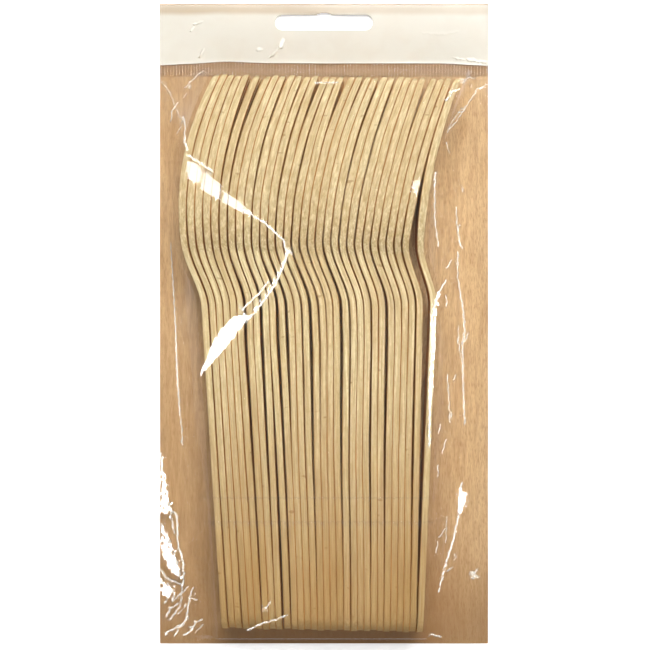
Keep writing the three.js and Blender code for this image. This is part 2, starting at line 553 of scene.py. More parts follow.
def grain_group() -> bpy.types.NodeTree:
    """Makes the lengthwise grain that the forks and the printed back share.

    Returns:
        A node group that turns a place in millimetres into masks of figure, streaks and fibres.
    """
    tree = bpy.data.node_groups.new("LengthwiseGrain", "ShaderNodeTree")
    graph = Graph(tree)
    face = tree.interface
    face.new_socket("Place", in_out="INPUT", socket_type="NodeSocketVector")
    face.new_socket("Stretch", in_out="INPUT", socket_type="NodeSocketFloat")
    for name in GRAIN_SOFTNESS:
        face.new_socket(f"{name} Width", in_out="INPUT", socket_type="NodeSocketFloat")
        face.new_socket(name, in_out="OUTPUT", socket_type="NodeSocketFloat")
    given = graph.node("NodeGroupInput").outputs
    result = graph.node("NodeGroupOutput").inputs
    for name, soft in GRAIN_SOFTNESS.items():
        across = graph.maths("DIVIDE", 1.0, given[f"{name} Width"])
        along = graph.maths("DIVIDE", across, given["Stretch"])
        often = graph.chain("ShaderNodeCombineXYZ", across, along, across)
        clouds = graph.clouds(graph.scaled(given["Place"], often))
        graph.feed(result[name], graph.spread(clouds, 0.5 - soft, 0.5 + soft))
    return tree


@dataclass(frozen=True)
class Grain:
    """The shared grain in one finish: the widths of its three masks, and how far they stretch."""

    widths: Triple
    stretch: float

    def masks(
        self, graph: Graph, group: bpy.types.NodeTree, place: bpy.types.NodeSocket
    ) -> dict[str, bpy.types.NodeSocket]:
        """Puts the grain in a material.

        Args:
            graph: The material's graph.
            group: The grain group.
            place: Where the grain is read, in millimetres.

        Returns:
            The masks by name.
        """
        made = graph.node("ShaderNodeGroup", node_tree=group)
        graph.feed(made.inputs["Place"], place)
        made.inputs["Stretch"].default_value = self.stretch
        for name, width in zip(GRAIN_SOFTNESS, self.widths):
            made.inputs[f"{name} Width"].default_value = width
        return {name: made.outputs[name] for name in GRAIN_SOFTNESS}


# Finishes


@dataclass(frozen=True)
class ForkWood:
    """Bare pale wood with fine lengthwise lines and a few cross marks, with painted shade in the gaps
    between forks on brown broad faces and patchy brown rims.
    """

    pale: Colour = (0.98, 0.845, 0.505)
    tan: Colour = (0.53, 0.335, 0.125)
    # Painted shade: the brown that the broad faces and rims take in the gaps between forks
    side: Colour = (0.62, 0.27, 0.072)
    dark: Colour = (0.32, 0.135, 0.035)
    grain: Grain = Grain((3.0, 0.75, 0.32), 60.0)
    streaks: float = 0.5
    fibres: float = 0.42
    specks: Blotches = Blotches((2.0, 0.55, 2.0), 2.0, (0.4, 0.66))
    speck_share: float = 0.28
    patches: Blotches = Blotches((0.4, 0.04, 0.4), 2.0, (0.3, 0.62))
    patch_share: float = 0.85
    ticks: Blotches = Blotches((0.25, 0.55, 0.05), 1.0, (0.73, 0.79))
    tick_share: float = 0.45
    # Painted shade in the gaps between forks: patchy brown rims and brown broad faces
    gap_rim_shade: Pair = (0.77, 0.92)
    gap_shade_faces: Pair = (0.93, 0.98)
    roughness: Pair = (0.65, 0.2)
    specular: float = 0.02
    bump_strength: float = 0.25
    bump_height: float = 0.05

    def build(self, group: bpy.types.NodeTree) -> bpy.types.Material:
        """Makes the material.

        Args:
            group: The shared grain group.

        Returns:
            The forks' material.
        """
        material, graph = new_graph("fork_wood")
        place = graph.attribute(Mark.GRAIN, "Vector")
        lines = self.grain.masks(graph, group, place)
        colour = graph.tint(self.pale, self.tan, lines["Streaks"], self.streaks)
        # Each fork's own colour, and painted shade darkening the handles towards their ends
        colour = graph.tint(colour, self.tan, graph.attribute(Mark.TONE_AND_SHADE))
        colour = graph.tint(colour, self.dark, lines["Fibres"], self.fibres)
        colour = graph.tint(colour, self.tan, self.specks.mask(graph, place), self.speck_share)
        # Painted shade in the gaps between forks, on the rims and broad faces that face a neighbour
        skin = graph.maths("ABSOLUTE", graph.attribute(Mark.SKIN))
        patchy = self.patches.mask(graph, place)
        gap_rim_shade = graph.product(graph.spread(skin, *self.gap_rim_shade), patchy, self.patch_share)
        side = graph.tint(self.side, self.dark, lines["Streaks"], self.streaks)
        sides = graph.maths("MAXIMUM", gap_rim_shade, graph.spread(skin, *self.gap_shade_faces))
        colour = graph.tint(colour, side, sides)
        colour = graph.tint(colour, self.dark, self.ticks.mask(graph, place), self.tick_share)
        shader = graph.principled(colour, graph.line(lines["Fibres"], *self.roughness), self.specular)
        bump = graph.node("ShaderNodeBump")
        bump.inputs["Strength"].default_value = self.bump_strength
        bump.inputs["Distance"].default_value = self.bump_height * MM
        graph.feed(bump.inputs["Height"], lines["Fibres"])
        graph.feed(shader.inputs["Normal"], bump.outputs[0])
        return material


@dataclass(frozen=True)
class PrintedWood:
    """A brown wood grain printed on film, darker where the bag lies in shade.

    Each pair of shares is the value at the left, and how much more it is at the right.
    """

    brown: Colour = (0.61, 0.385, 0.18)
    light: Colour = (0.77, 0.545, 0.30)
    dark: Colour = (0.30, 0.145, 0.05)
    grain: Grain = Grain((9.0, 0.9, 0.2), 9.0)
    # Painted light: the print turns lighter towards the right, as if lit more from that side
    painted_light_shares: Pair = (0.2, 0.15)
    figure: float = 0.25
    streaks: float = 0.33
    pores: Pair = (0.55, 0.85)
    pore_shares: Pair = (0.3, 0.12)
    # Painted shade over the weld, darkest between its ribs
    weld: Pair = (75.0, 75.8)
    rib_shade: Pair = (0.68, -0.27)
    # Painted shade towards the top, strongest at the left
    above: Pair = (38.0, 60.0)
    above_shares: Pair = (0.24, -0.2)
    # Painted shade towards the bottom, strongest at the right
    bottom: Pair = (-55.0, -95.0)
    bottom_shares: Pair = (0.33, 0.33)
    # Painted shade of the stack, towards its lower end
    stack_side: Pair = (46.0, 33.0)
    stack_end: Pair = (30.0, -80.0)
    stack_shade: float = 0.45
    # Painted shadow below the forks' ends
    foot: Pair = (-90.5, -94.5)
    foot_side: Pair = (39.0, 31.0)
    foot_shade: float = 0.5
    roughness: Pair = (0.5, 0.1)
    specular: float = 0.03

    def ribs(self, graph: Graph, x: bpy.types.NodeSocket) -> bpy.types.NodeSocket:
        """Paints shade on the weld, darkest between its ribs, in step with the film's.

        Args:
            graph: The material's graph.
            x: X in millimetres.

        Returns:
            How much painted shade the weld takes.
        """
        drift = graph.product(graph.maths("SINE", graph.product(x, RIB_DRIFT_RATE)), RIB_DRIFT)
        phase = graph.line(x, drift, 2 * math.pi / RIB_PITCH)
        return graph.line(graph.maths("COSINE", phase), *self.rib_shade)

    def build(self, group: bpy.types.NodeTree) -> bpy.types.Material:
        """Makes the material.

        Args:
            group: The shared grain group.

        Returns:
            The back panel's material.
        """
        material, graph = new_graph("wood_print")
        place = graph.place_mm()
        x, y, _ = graph.axes(place)
        lines = self.grain.masks(graph, group, place)
        right = graph.spread(x, -HALF_WIDTH, HALF_WIDTH)
        # Painted light: lighter towards the right
        colour = graph.tint(self.brown, self.light, graph.line(right, *self.painted_light_shares))
        colour = graph.tint(colour, self.light, lines["Figure"], self.figure)
        colour = graph.tint(colour, self.dark, lines["Streaks"], self.streaks)
        pores = graph.spread(lines["Fibres"], *self.pores)
        colour = graph.tint(colour, self.dark, pores, graph.line(right, *self.pore_shares))
        # Painted shade over the weld, towards the top and towards the bottom
        for span, shade in (
            (self.weld, self.ribs(graph, x)),
            (self.above, graph.line(right, *self.above_shares)),
            (self.bottom, graph.line(right, *self.bottom_shares)),
        ):
            colour = graph.tint(colour, self.dark, graph.spread(y, *span), shade)
        # Painted shade of the stack
        beside = graph.spread(x, *self.stack_side)
        below = graph.spread(y, *self.stack_end)
        colour = graph.tint(colour, self.dark, beside, below, self.stack_shade)
        # Painted shadow below the forks' ends
        between = graph.spread(graph.maths("ABSOLUTE", x), *self.foot_side)
        colour = graph.tint(colour, self.dark, graph.spread(y, *self.foot), between, self.foot_shade)
        graph.principled(colour, graph.line(lines["Streaks"], *self.roughness), self.specular)
        return material


@dataclass(frozen=True)
class CreamFilm:
    """Cream header film with a darker field along its fold, strongest at the left."""

    cream: Colour = (0.735, 0.695, 0.60)
    fold: Colour = (0.565, 0.455, 0.315)
    edge: Colour = (0.42, 0.29, 0.16)
    edge_span: Pair = (96.5, 97.3)
    edge_share: float = 0.7
    fold_span: Pair = (94.1, 95.9)
    fold_shares: Pair = (0.55, 0.4)
    left: Pair = (30.0, -30.0)
    waver_often: Triple = (0.05, 0.05, 0.0)
    waver: float = 1.6
    cloud_often: Triple = (0.12, 0.16, 0.1)
    cloud_span: Pair = (0.42, 0.66)
    cloud_share: float = 0.1
    roughness: Pair = (0.12, 0.16)
    specular: float = 0.12

    def build(self) -> bpy.types.Material:
        """Makes the header's material.

        Returns:
            The material.
        """
        material, graph = new_graph("header_film")
        place = graph.place_mm()
        x, y, _ = graph.axes(place)
        waver = graph.clouds(graph.scaled(place, self.waver_often), 2.0)
        band = graph.spread(graph.line(waver, y, self.waver), *self.fold_span)
        at_left = graph.line(graph.spread(x, *self.left), *self.fold_shares)
        colour = graph.tint(self.cream, self.fold, band, at_left)
        colour = graph.tint(colour, self.edge, graph.spread(y, *self.edge_span), self.edge_share)
        cloudy = graph.clouds(graph.scaled(place, self.cloud_often))
        colour = graph.tint(colour, self.fold, graph.spread(cloudy, *self.cloud_span), self.cloud_share)
        graph.principled(colour, graph.line(cloudy, *self.roughness), self.specular)
        return material


@dataclass(frozen=True)
class ClearFilm:
    """Thin clear film: it lets light through, mirrors the lamps, and is whiter along its creases, part
    crease whitening and part painted glint.
    """

    ior: float = 1.5
    mirror: float = 0.022
    grazing_from: float = 0.14
    grazing_share: float = 0.35
    roughness: float = 0.11
    veil: float = 0.003
    specks: Blotches = Blotches((1.2, 1.2, 1.2), 3.0, (0.3, 0.6))
    speck_shares: Pair = (0.5, 0.5)
    soft_white: Colour = (0.98, 0.95, 0.88)
    sparkle_white: Colour = (1.0, 0.98, 0.93)
    sparkle: float = 0.18

    def milk(self, graph: Graph) -> bpy.types.NodeSocket:
        """Makes the white of creased film, lit as if it lay flat.

        Args:
            graph: The material's graph.

        Returns:
            The shader.
        """
        upright = graph.chain("ShaderNodeCombineXYZ", 0.0, 0.0, 1.0)
        soft = graph.lobe("ShaderNodeBsdfDiffuse", self.soft_white, Normal=upright)
        sparkle = graph.lobe("ShaderNodeBsdfGlossy", self.sparkle_white, Roughness=1.0, Normal=upright)
        return graph.chain("ShaderNodeMixShader", self.sparkle, soft, sparkle)

    def shine(self, graph: Graph) -> bpy.types.NodeSocket:
        """Works out how much the film's outer face mirrors, more where it is seen edgewise.

        Args:
            graph: The material's graph.

        Returns:
            The share, 0 on the inner face.
        """
        fresnel = graph.chain("ShaderNodeFresnel", self.ior)
        grazing = graph.maths("MAXIMUM", graph.maths("SUBTRACT", fresnel, self.grazing_from), 0.0)
        inside = graph.node("ShaderNodeNewGeometry").outputs["Backfacing"]
        outside = graph.maths("SUBTRACT", 1.0, inside)
        return graph.product(graph.line(grazing, self.mirror, self.grazing_share), outside)

    def build(self) -> bpy.types.Material:
        """Makes the film's material.

        Returns:
            The material.
        """
        material, graph = new_graph("clear_film")
        uneven = graph.line(self.specks.mask(graph, graph.place_mm()), *self.speck_shares)
        # Whiteness along the creases: part crease whitening, part painted glint
        white = graph.maths("MULTIPLY_ADD", graph.attribute(Mark.HAZE_AND_GLINT), uneven, self.veil)
        clear = graph.lobe("ShaderNodeBsdfTransparent")
        body = graph.chain("ShaderNodeMixShader", white, clear, self.milk(graph))
        gloss = graph.lobe("ShaderNodeBsdfGlossy", Roughness=self.roughness)
        skin = graph.chain("ShaderNodeMixShader", self.shine(graph), body, gloss)
        shadow = graph.node("ShaderNodeLightPath").outputs["Is Shadow Ray"]
        open_to_lamps = graph.lobe("ShaderNodeBsdfTransparent")
        graph.show(graph.chain("ShaderNodeMixShader", shadow, skin, open_to_lamps))
        return material


# Lamps


@dataclass(frozen=True)
class Softbox:
    """A soft lamp: its place and size in metres, and its power in watts."""

    name: str
    place: Triple
    size: Pair
    power: float
    aim: Triple = (0.0, 0.0, 0.0)
    spread: float = 180.0
    lights: Lights = Lights.ALL

    def build(self) -> None:
        """Adds the lamp and aims it at the pack."""
        lamp = bpy.data.lights.new(self.name, "AREA")
        lamp.shape = "RECTANGLE"
        lamp.size, lamp.size_y = self.size
        lamp.energy = self.power
        holder = bpy.data.objects.new(self.name, lamp)
        holder.location = self.place
        ahead = Vector(self.aim) - Vector(self.place)
        holder.rotation_euler = ahead.to_track_quat("-Z", "Y").to_euler()
        holder.visible_camera = False
        holder.visible_diffuse = self.lights != Lights.GLINTS
        holder.visible_glossy = self.lights != Lights.SOFT
        lamp.spread = math.radians(self.spread)
        bpy.context.collection.objects.link(holder)


KEY = Softbox("key_softbox", (0.07, 0.39, 0.74), (0.56, 0.22), 1.25, (0.0, 0.04, 0.0), 70.0)
FILL = Softbox(
    "fill_softbox", (0.0, -0.45, 0.8), (0.5, 0.3), 1.62, (0.0, -0.04, 0.0), lights=Lights.SOFT
)
KEY_GLINT = Softbox("key_glint", KEY.place, KEY.size, 26.0, KEY.aim, lights=Lights.GLINTS)
LEFT_STRIP = Softbox("left_strip", (-0.72, 0.05, 0.86), (0.6, 0.14), 30.0, lights=Lights.GLINTS)
RIGHT_STRIP = Softbox("right_strip", (0.72, 0.0, 0.86), (0.6, 0.14), 30.0, lights=Lights.GLINTS)


# Forks


@dataclass(frozen=True)
class Stand:
    """How one fork stands: X of its handle's end, its lean, and its head's sweep and curl."""

    end: float
    lean: float
    sweep: float
    curl: float


@dataclass(frozen=True)
class GapRow:
    """A place along the pack, and the numbers of the gaps that stand wide or half open there."""

    y: float
    wide: tuple[int, ...] = ()
    half: tuple[int, ...] = ()
    closed_share: float = 1.0
    half_share: float = 4.0
    wide_share: float = 9.0

    def opening(self, gap: int) -> float:
        """How wide one gap is, against a closed one.

        Args:
            gap: The number of the fork on its left, from 1.

        Returns:
            Its share of the slack.
        """
        if gap in self.wide:
            return self.wide_share
        return self.half_share if gap in self.half else self.closed_share

    def slack_left(self, index: int, gaps: int) -> float:
        """How much of the stack's slack lies left of a fork.

        Args:
            index: Which fork, from the left and from 0.
            gaps: Number of gaps in the stack.

        Returns:
            The share, from 0 to 1.
        """
        openings = [self.opening(gap) for gap in range(1, gaps + 1)]
        return sum(openings[:index]) / sum(openings)


GAP_ROWS = (
    GapRow(-88.0, (9,), (1, 3, 6, 10, 19)),
    GapRow(-40.0, (6, 8, 9, 10, 14, 18, 22, 24, 28), (1, 2, 5, 13, 19)),
    GapRow(-5.0, (6, 8, 10, 11, 14, 18, 24), (1, 13, 15, 19, 22, 28)),
    GapRow(24.0),
    GapRow(48.0, (5, 6, 9, 12, 14, 20, 22), (1, 3, 28)),
    GapRow(70.0, (5, 6, 13, 16, 26), (9, 11, 18, 20, 22)),
)


@dataclass(frozen=True)
class ForkShape:
    """The flat blank of a fork, from the end of its handle to the tips of its tines."""

    length: float = 164.4
    handle_half: float = 8.5
    end_round: float = 7.0
    neck_at: float = 113.0
    neck_half: float = 5.5
    flare_at: float = 122.0
    flare_half: float = 11.2
    shoulder_at: float = 143.0
    shoulder_half: float = 13.2
    head_at: float = 148.0
    head_half: float = 13.5
    tip_half: float = 12.2
    tines: int = 4
    root: float = 136.0
    slot_at_root: float = 2.2
    slot_at_tip: float = 3.2
    point: float = 2.0
    blunt: float = 1.1
    thick: float = 2.0
    edge_round: float = 0.15

    def half_width(self, along: float) -> float:
        """Half of the blank's width.

        Args:
            along: Distance from the end of the handle.

        Returns:
            Half the width there.
        """
        if along < self.end_round:
            step = math.sqrt(along / self.end_round)
            return self.handle_half * (2 * step - step * step)
        if along < self.neck_at:
            share = (along - self.end_round) / (self.neck_at - self.end_round)
            return self.handle_half + (self.neck_half - self.handle_half) * share
        if along < self.shoulder_at:
            return self.flare(along)
        if along < self.head_at:
            share = (along - self.shoulder_at) / (self.head_at - self.shoulder_at)
            return self.shoulder_half + (self.head_half - self.shoulder_half) * share
        share = (along - self.head_at) / (self.length - self.point - self.head_at)
        return self.head_half + (self.tip_half - self.head_half) * min(share, 1.0)

    def flare(self, along: float) -> float:
        """Half of the blank's width on the curve from the neck to the shoulder.

        Args:
            along: Distance from the end of the handle.

        Returns:
            Half the width there.
        """
        first = self.flare_at - self.neck_at
        second = self.shoulder_at - 2 * self.flare_at + self.neck_at
        step = (math.sqrt(first**2 + second * (along - self.neck_at)) - first) / second
        rise = 2 * step * (1 - step) * self.flare_half
        return (1 - step) ** 2 * self.neck_half + rise + step**2 * self.shoulder_half

    def rows(self) -> list[float]:
        """Places along the blank that carry a row of vertices, closest where it bends.

        Returns:
            The places, from the handle's end to the tips.
        """
        end = [0.35, 0.9, 1.8, 3.0, 4.6, 7.0]
        handle = [14.0 + 9.0 * row for row in range(9)]
        neck = [93.0 + 2.0 * row for row in range(10)]
        flare = [113.0, 114.0, 115.2, 116.8, 118.8, 121.0, 123.6, 126.6, 129.6, 133.0]
        head = [136.0, 137.5] + [140.0 + 2.6 * row for row in range(9)]
        tips = [162.4, 163.2, 163.9, 164.4]
        return end + handle + neck + flare + head + tips

    def across(self, along: float) -> list[float]:
        """Places across the blank at one row: two faces to a tine, and one to each slot.

        Args:
            along: Distance from the end of the handle.

        Returns:
            The places, from one edge to the other.
        """
        half = self.half_width(along)
        share = min(max((along - self.root) / (self.length - self.root), 0.0), 1.0)
        slot = self.slot_at_root + (self.slot_at_tip - self.slot_at_root) * share
        scale = 1.0 if along >= self.root else half / self.half_width(self.root)
        edge = half if along >= self.root else self.half_width(self.root)
        rounding = max(0.0, along - (self.length - self.point)) / self.point
        pinch = self.blunt * (1 - math.sqrt(max(0.0, 1 - rounding * rounding)))
        pitch = (2 * self.tip_half + self.slot_at_tip) / self.tines
        places: list[float] = []
        for tine in range(self.tines):
            left = -edge if tine == 0 else -self.tip_half + tine * pitch - (self.slot_at_tip - slot) / 2
            right = edge
            if tine < self.tines - 1:
                right = -self.tip_half + (tine + 1) * pitch - (self.slot_at_tip + slot) / 2
            places += [left + pinch, (left + right) / 2, right - pinch]
        return [place * scale for place in places]


@dataclass
class ForkStack:
    """The forks, stacked on edge side by side."""

    wood: bpy.types.Material
    shape: ForkShape = ForkShape()
    count: int = 30
    end_y: float = -91.0
    rest_z: float = 0.3
    bend_start: float = 5.0
    knee: float = 24.0
    set_back: float = -4.7
    handle_thick: float = 1.87
    head_thick: float = 2.3
    tip_thick: float = 2.0
    swell_from: float = 20.0
    swell_to: float = 38.0
    taper_from: float = 55.0
    first: Stand = Stand(-29.4, -0.062, -1.5, 15.0)
    last: Stand = Stand(26.4, 0.0206, 5.3, 6.8)
    loose: Stand = Stand(28.5, 0.0404, -0.8, 10.2)
    slide_trend: float = 1.1
    slide_uneven: float = 0.5
    # Painted shade: the handles turn darker and more brown towards their ends
    end_shade_to: float = 88.0
    end_shade_most: float = 0.86
    tone_spread: float = 0.24
    tip_round: float = 1.1
    tip_narrow: float = 0.6
    sharp_angle: float = 50.0
    smooth_angle: float = 40.0
    grain_step: Triple = (17.0, 61.0, 7.0)

    @property
    def tip_y(self) -> float:
        """Y of the foremost tips."""
        return self.end_y + self.shape.length

    def uneven(self, index: int, phase: float) -> float:
        """A golden-ratio sequence, in which neighbours are unlike each other.

        Args:
            index: Which fork.
            phase: Where the sequence starts.

        Returns:
            A number from -0.5 to 0.5.
        """
        return (index * GOLDEN + phase) % 1 - 0.5

    def middle(self, stand: Stand, y: np.ndarray) -> np.ndarray:
        """X of the middle of a fork's thickness.

        Args:
            stand: How the fork stands.
            y: Places along the pack.

        Returns:
            X at each place.
        """
        neck = self.set_back * ease((y - self.bend_start) / (self.knee - self.bend_start))
        head = np.maximum(0.0, (y - self.knee) / (self.tip_y - self.knee))
        handle = stand.end + stand.lean * (y - self.end_y)
        return handle + neck + stand.sweep * head + stand.curl * head**2

    def thickness(self, y: np.ndarray) -> np.ndarray:
        """Thickness of a fork: thin along the handle, full at the head, and tapered to the tips.

        Args:
            y: Places along the pack.

        Returns:
            The thickness at each place.
        """
        share = ease((y - self.swell_from) / (self.swell_to - self.swell_from))
        swell = (self.head_thick - self.handle_thick) * share
        share = np.clip((y - self.taper_from) / (self.tip_y - self.taper_from), 0, 1)
        return self.handle_thick + swell - (self.head_thick - self.tip_thick) * share

    def stack_middle(self, index: int, y: np.ndarray) -> np.ndarray:
        """X of the middle of one fork, with the forks and gaps to the left of it added up.

        Args:
            index: Which fork, from the left.
            y: Places along the pack.

        Returns:
            X at each place.
        """
        if index == self.count - 1:
            return self.middle(self.loose, y)
        first = self.middle(self.first, y)
        thick = self.thickness(y)
        gaps = self.count - 2
        slack = self.middle(self.last, y) - first - thick * gaps
        shares = [row.slack_left(index, gaps) for row in GAP_ROWS]
        return first + thick * index + slack * np.interp(y, [row.y for row in GAP_ROWS], shares)

    def blank(self) -> bpy.types.Object:
        """Models one flat fork: a grid drawn to the outline, its slots cut out, thickened and rounded.

        Returns:
            The blank, with X through its thickness, Y along it and Z across it.
        """
        shape = self.shape
        rows = shape.rows()
        columns = shape.tines * 3 - 1
        piece = add_grid("fork_blank", columns, len(rows) - 1)
        points = np.array([(0.0, along, place) for along in rows for place in shape.across(along)])
        write_points(piece.data, points * MM)
        face_row, face_column = np.divmod(np.arange(len(piece.data.polygons)), columns)
        in_head = np.array(rows)[face_row] >= shape.root
        select_faces(piece, in_head & (face_column % 3 == 2))
        bpy.ops.mesh.delete(type="FACE")
        bpy.ops.object.mode_set(mode="OBJECT")
        apply_modifier(piece, "SOLIDIFY", thickness=shape.thick * MM, offset=0.0)
        sharp = math.radians(self.sharp_angle)
        rounding = {"width": shape.edge_round * MM, "segments": 2}
        apply_modifier(piece, "BEVEL", limit_method="ANGLE", angle_limit=sharp, **rounding)
        make_active(piece)
        bpy.ops.object.mode_set(mode="EDIT")
        bpy.ops.mesh.select_all(action="SELECT")
        bpy.ops.mesh.normals_make_consistent(inside=False)
        bpy.ops.object.mode_set(mode="OBJECT")
        return piece

    def skin(self, through: np.ndarray, index: int) -> np.ndarray:
        """Marks a fork's broad faces, which take painted shade for the gaps between forks, except the two
        at the outside of the stack, which stay pale.

        Args:
            through: Places through the blank's thickness.
            index: Which fork, from the left.

        Returns:
            A number at each place, from -1 on the left face to 1 on the right one.
        """
        faces = through * 2 / self.shape.thick
        if index == 0:
            return np.maximum(faces, 0)
        return np.minimum(faces, 0) if index == self.count - 1 else faces

    def bend(self, piece: bpy.types.Object, index: int) -> None:
        """Bends a copy of the blank to its place in the stack.

        Args:
            piece: The copy.
            index: Which fork, from the left.
        """
        shape = self.shape
        flat = read_points(piece.data) / MM
        rise = math.atan((shape.head_half - shape.handle_half) / (shape.head_at - shape.end_round))
        slide = self.slide_uneven * (self.uneven(index, 0.37) - 0.5)
        slide -= self.slide_trend * index / (self.count - 1)
        along = flat[:, 1] - shape.end_round
        y = along * math.cos(rise) - flat[:, 2] * math.sin(rise) + self.end_y + shape.end_round + slide
        z = along * math.sin(rise) + flat[:, 2] * math.cos(rise) + self.rest_z + shape.handle_half
        near_tip = np.clip((flat[:, 1] - shape.length + self.tip_round) / self.tip_round, 0, 1)
        rounded = 1 - (1 - self.tip_narrow) * near_tip**2
        x = self.stack_middle(index, y) + flat[:, 0] * rounded * self.thickness(y) / shape.thick
        write_points(piece.data, np.column_stack((x, y, z)) * MM)
        write_mark(piece.data, Mark.GRAIN, flat + index * np.array(self.grain_step))
        write_mark(piece.data, Mark.SKIN, self.skin(flat[:, 0], index))
        # Painted shade along the handle, added to each fork's own colour
        end_shade = ease((self.end_shade_to - flat[:, 1]) / self.end_shade_to) * self.end_shade_most
        own_tone = self.tone_spread * (self.uneven(index * 5 + 2, 0.21) + 0.5)
        write_mark(piece.data, Mark.TONE_AND_SHADE, end_shade + own_tone)

    def build(self) -> None:
        """Makes every fork from one blank."""
        blank = self.blank()
        for index in range(self.count):
            name = f"fork_{index + 1:02d}"
            piece = blank.copy()
            piece.data = blank.data.copy()
            piece.name = f"{name}_wood"
            piece.data.name = piece.name
            bpy.context.collection.objects.link(piece)
            self.bend(piece, index)
            smooth_shade(piece, self.smooth_angle)
            finish_piece(piece, Slot.FORK, self.wood, name)
        bpy.data.objects.remove(blank)


# Creases


@dataclass(frozen=True)
class Crease:
    """A sharp fold in a film: points of X, Y and width, with the broad flank on the left of the path."""

    path: tuple[Triple, ...]
    slope: float = 0.14
    # How white the crease line turns: part crease whitening, part painted glint
    haze_and_glint: float = 0.5
    steep: float = 0.5
    waver: float = 0.12
    line_radius: float = 0.13
    line_white: float = 0.85
    full_width: float = 0.4

    def measure(self, x: np.ndarray, y: np.ndarray) -> tuple[np.ndarray, np.ndarray, np.ndarray]:
        """Measures points against the crease.

        Args:
            x: X of each point.
            y: Y of each point.

        Returns:
            The distance of each point from the path, and the flank's reach and the width there.
        """
        sway_x = np.sin(2.3 * y + 1.1 * x)
        sway_y = np.sin(2.9 * x - 0.7 * y)
        x, y = x + self.waver * sway_x, y + self.waver * sway_y
        best = np.full(x.shape, np.inf)
        side = np.ones(x.shape)
        width = np.ones(x.shape)
        for (ax, ay, aw), (bx, by, bw) in zip(self.path, self.path[1:]):
            dx, dy = bx - ax, by - ay
            share = np.clip(((x - ax) * dx + (y - ay) * dy) / (dx * dx + dy * dy), 0, 1)
            away_x, away_y = x - ax - share * dx, y - ay - share * dy
            distance = np.hypot(away_x, away_y)
            nearer = distance < best
            best = np.where(nearer, distance, best)
            side = np.where(nearer, np.sign(dx * away_y - dy * away_x), side)
            width = np.where(nearer, aw + (bw - aw) * share, width)
        return best, np.where(side >= 0, width, width * self.steep), width

    def raise_film(self, x: np.ndarray, y: np.ndarray) -> tuple[np.ndarray, np.ndarray]:
        """Finds what the crease does to a film.

        Args:
            x: X of each point.
            y: Y of each point.

        Returns:
            How far each point rises, and how white it turns, part crease whitening and part painted glint.
        """
        distance, reach, width = self.measure(x, y)
        rise = self.slope * width * np.clip(1 - distance / reach, 0, 1)
        line = np.clip(2.0 * np.exp(-((distance / self.line_radius) ** 2)), 0, 1)
        white = self.line_white * self.haze_and_glint * line * np.clip(width / self.full_width, 0, 1)
        return rise, white

    def near(self, x: np.ndarray, y: np.ndarray, margin: float) -> np.ndarray:
        """Finds the points that the crease moves, or nearly moves.

        Args:
            x: X of each point.
            y: Y of each point.
            margin: How far past the crease to look.

        Returns:
            A true or false value for each point.
        """
        distance, reach, _ = self.measure(x, y)
        return distance < reach + margin


@dataclass(frozen=True)
class Facet:
    """A flat patch of film between sharp edges, tipped so that it mirrors a lamp up to the camera."""

    outline: tuple[Pair, ...]
    lamp: Softbox
    edge: float = 0.4
    sink: float = 0.0
    rag: float = 0.3

    def inside(self, x: np.ndarray, y: np.ndarray) -> np.ndarray:
        """Measures how far inside the outline points are.

        Args:
            x: X of each point.
            y: Y of each point.

        Returns:
            The distance to the nearest side, below 0 outside; the outline runs anticlockwise.
        """
        least = np.full(x.shape, np.inf)
        for (ax, ay), (bx, by) in zip(self.outline, self.outline[1:] + self.outline[:1]):
            length = math.hypot(bx - ax, by - ay)
            least = np.minimum(least, ((bx - ax) * (y - ay) - (by - ay) * (x - ax)) / length)
        return least

    def near(self, x: np.ndarray, y: np.ndarray, margin: float) -> np.ndarray:
        """Finds the points that the facet moves, or nearly moves.

        Args:
            x: X of each point.
            y: Y of each point.
            margin: How far past the outline to look.

        Returns:
            A true or false value for each point.
        """
        return self.inside(x, y) > -margin

    def tilt(self, middle: Vector) -> Pair:
        """Works out the slope that mirrors the lamp up to the camera.

        Args:
            middle: The facet's middle.

        Returns:
            How the facet's normal leans along X and Y, for each unit that it rises.
        """
        to_eye = (Vector(EYE) - middle).normalized()
        to_lamp = (Vector(self.lamp.place) / MM - middle).normalized()
        half = to_eye + to_lamp
        return half.x / half.z, half.y / half.z

    def flatten(self, x: np.ndarray, y: np.ndarray, z: np.ndarray) -> np.ndarray:
        """Flattens the film inside the outline, with its lowest corner on the film around it.

        Args:
            x: X of each point.
            y: Y of each point.
            z: Z of each point before.

        Returns:
            Z of each point after.
        """
        coarse = np.sin(2.9 * x + 1.1 * y) * np.sin(1.7 * y - 0.8 * x + 1)
        fine = 0.6 * np.sin(5.3 * x - 2.1 * y)
        share = ease((self.inside(x, y) + self.rag * (coarse + fine)) / self.edge + 0.5)
        if not share.any():
            return z
        across, along = np.mean(self.outline, axis=0)
        level = np.median(z[share > 0])
        lean_x, lean_y = self.tilt(Vector((across, along, level)))
        drop = max((px - across) * lean_x + (py - along) * lean_y for px, py in self.outline)
        plane = level + drop - self.sink - (x - across) * lean_x - (y - along) * lean_y
        return z * (1 - share) + plane * share


def crease_film(
    creases: tuple[Crease, ...], x: np.ndarray, y: np.ndarray
) -> tuple[np.ndarray, np.ndarray]:
    """Adds up all of a film's creases.

    Args:
        creases: The creases.
        x: X of each point.
        y: Y of each point.

    Returns:
        How far each point rises, and how white it turns, part crease whitening and part painted glint.
    """
    rise = np.zeros(x.shape)
    white = np.zeros(x.shape)
    for crease in creases:
        up, pale = crease.raise_film(x, y)
        rise = np.maximum(rise, up)
        white = np.maximum(white, pale)
    return rise, white


# How far past the folds a film's faces are cut up, and how many cuts cross each
FINE_MARGIN = 0.5
FINE_CUTS = 4


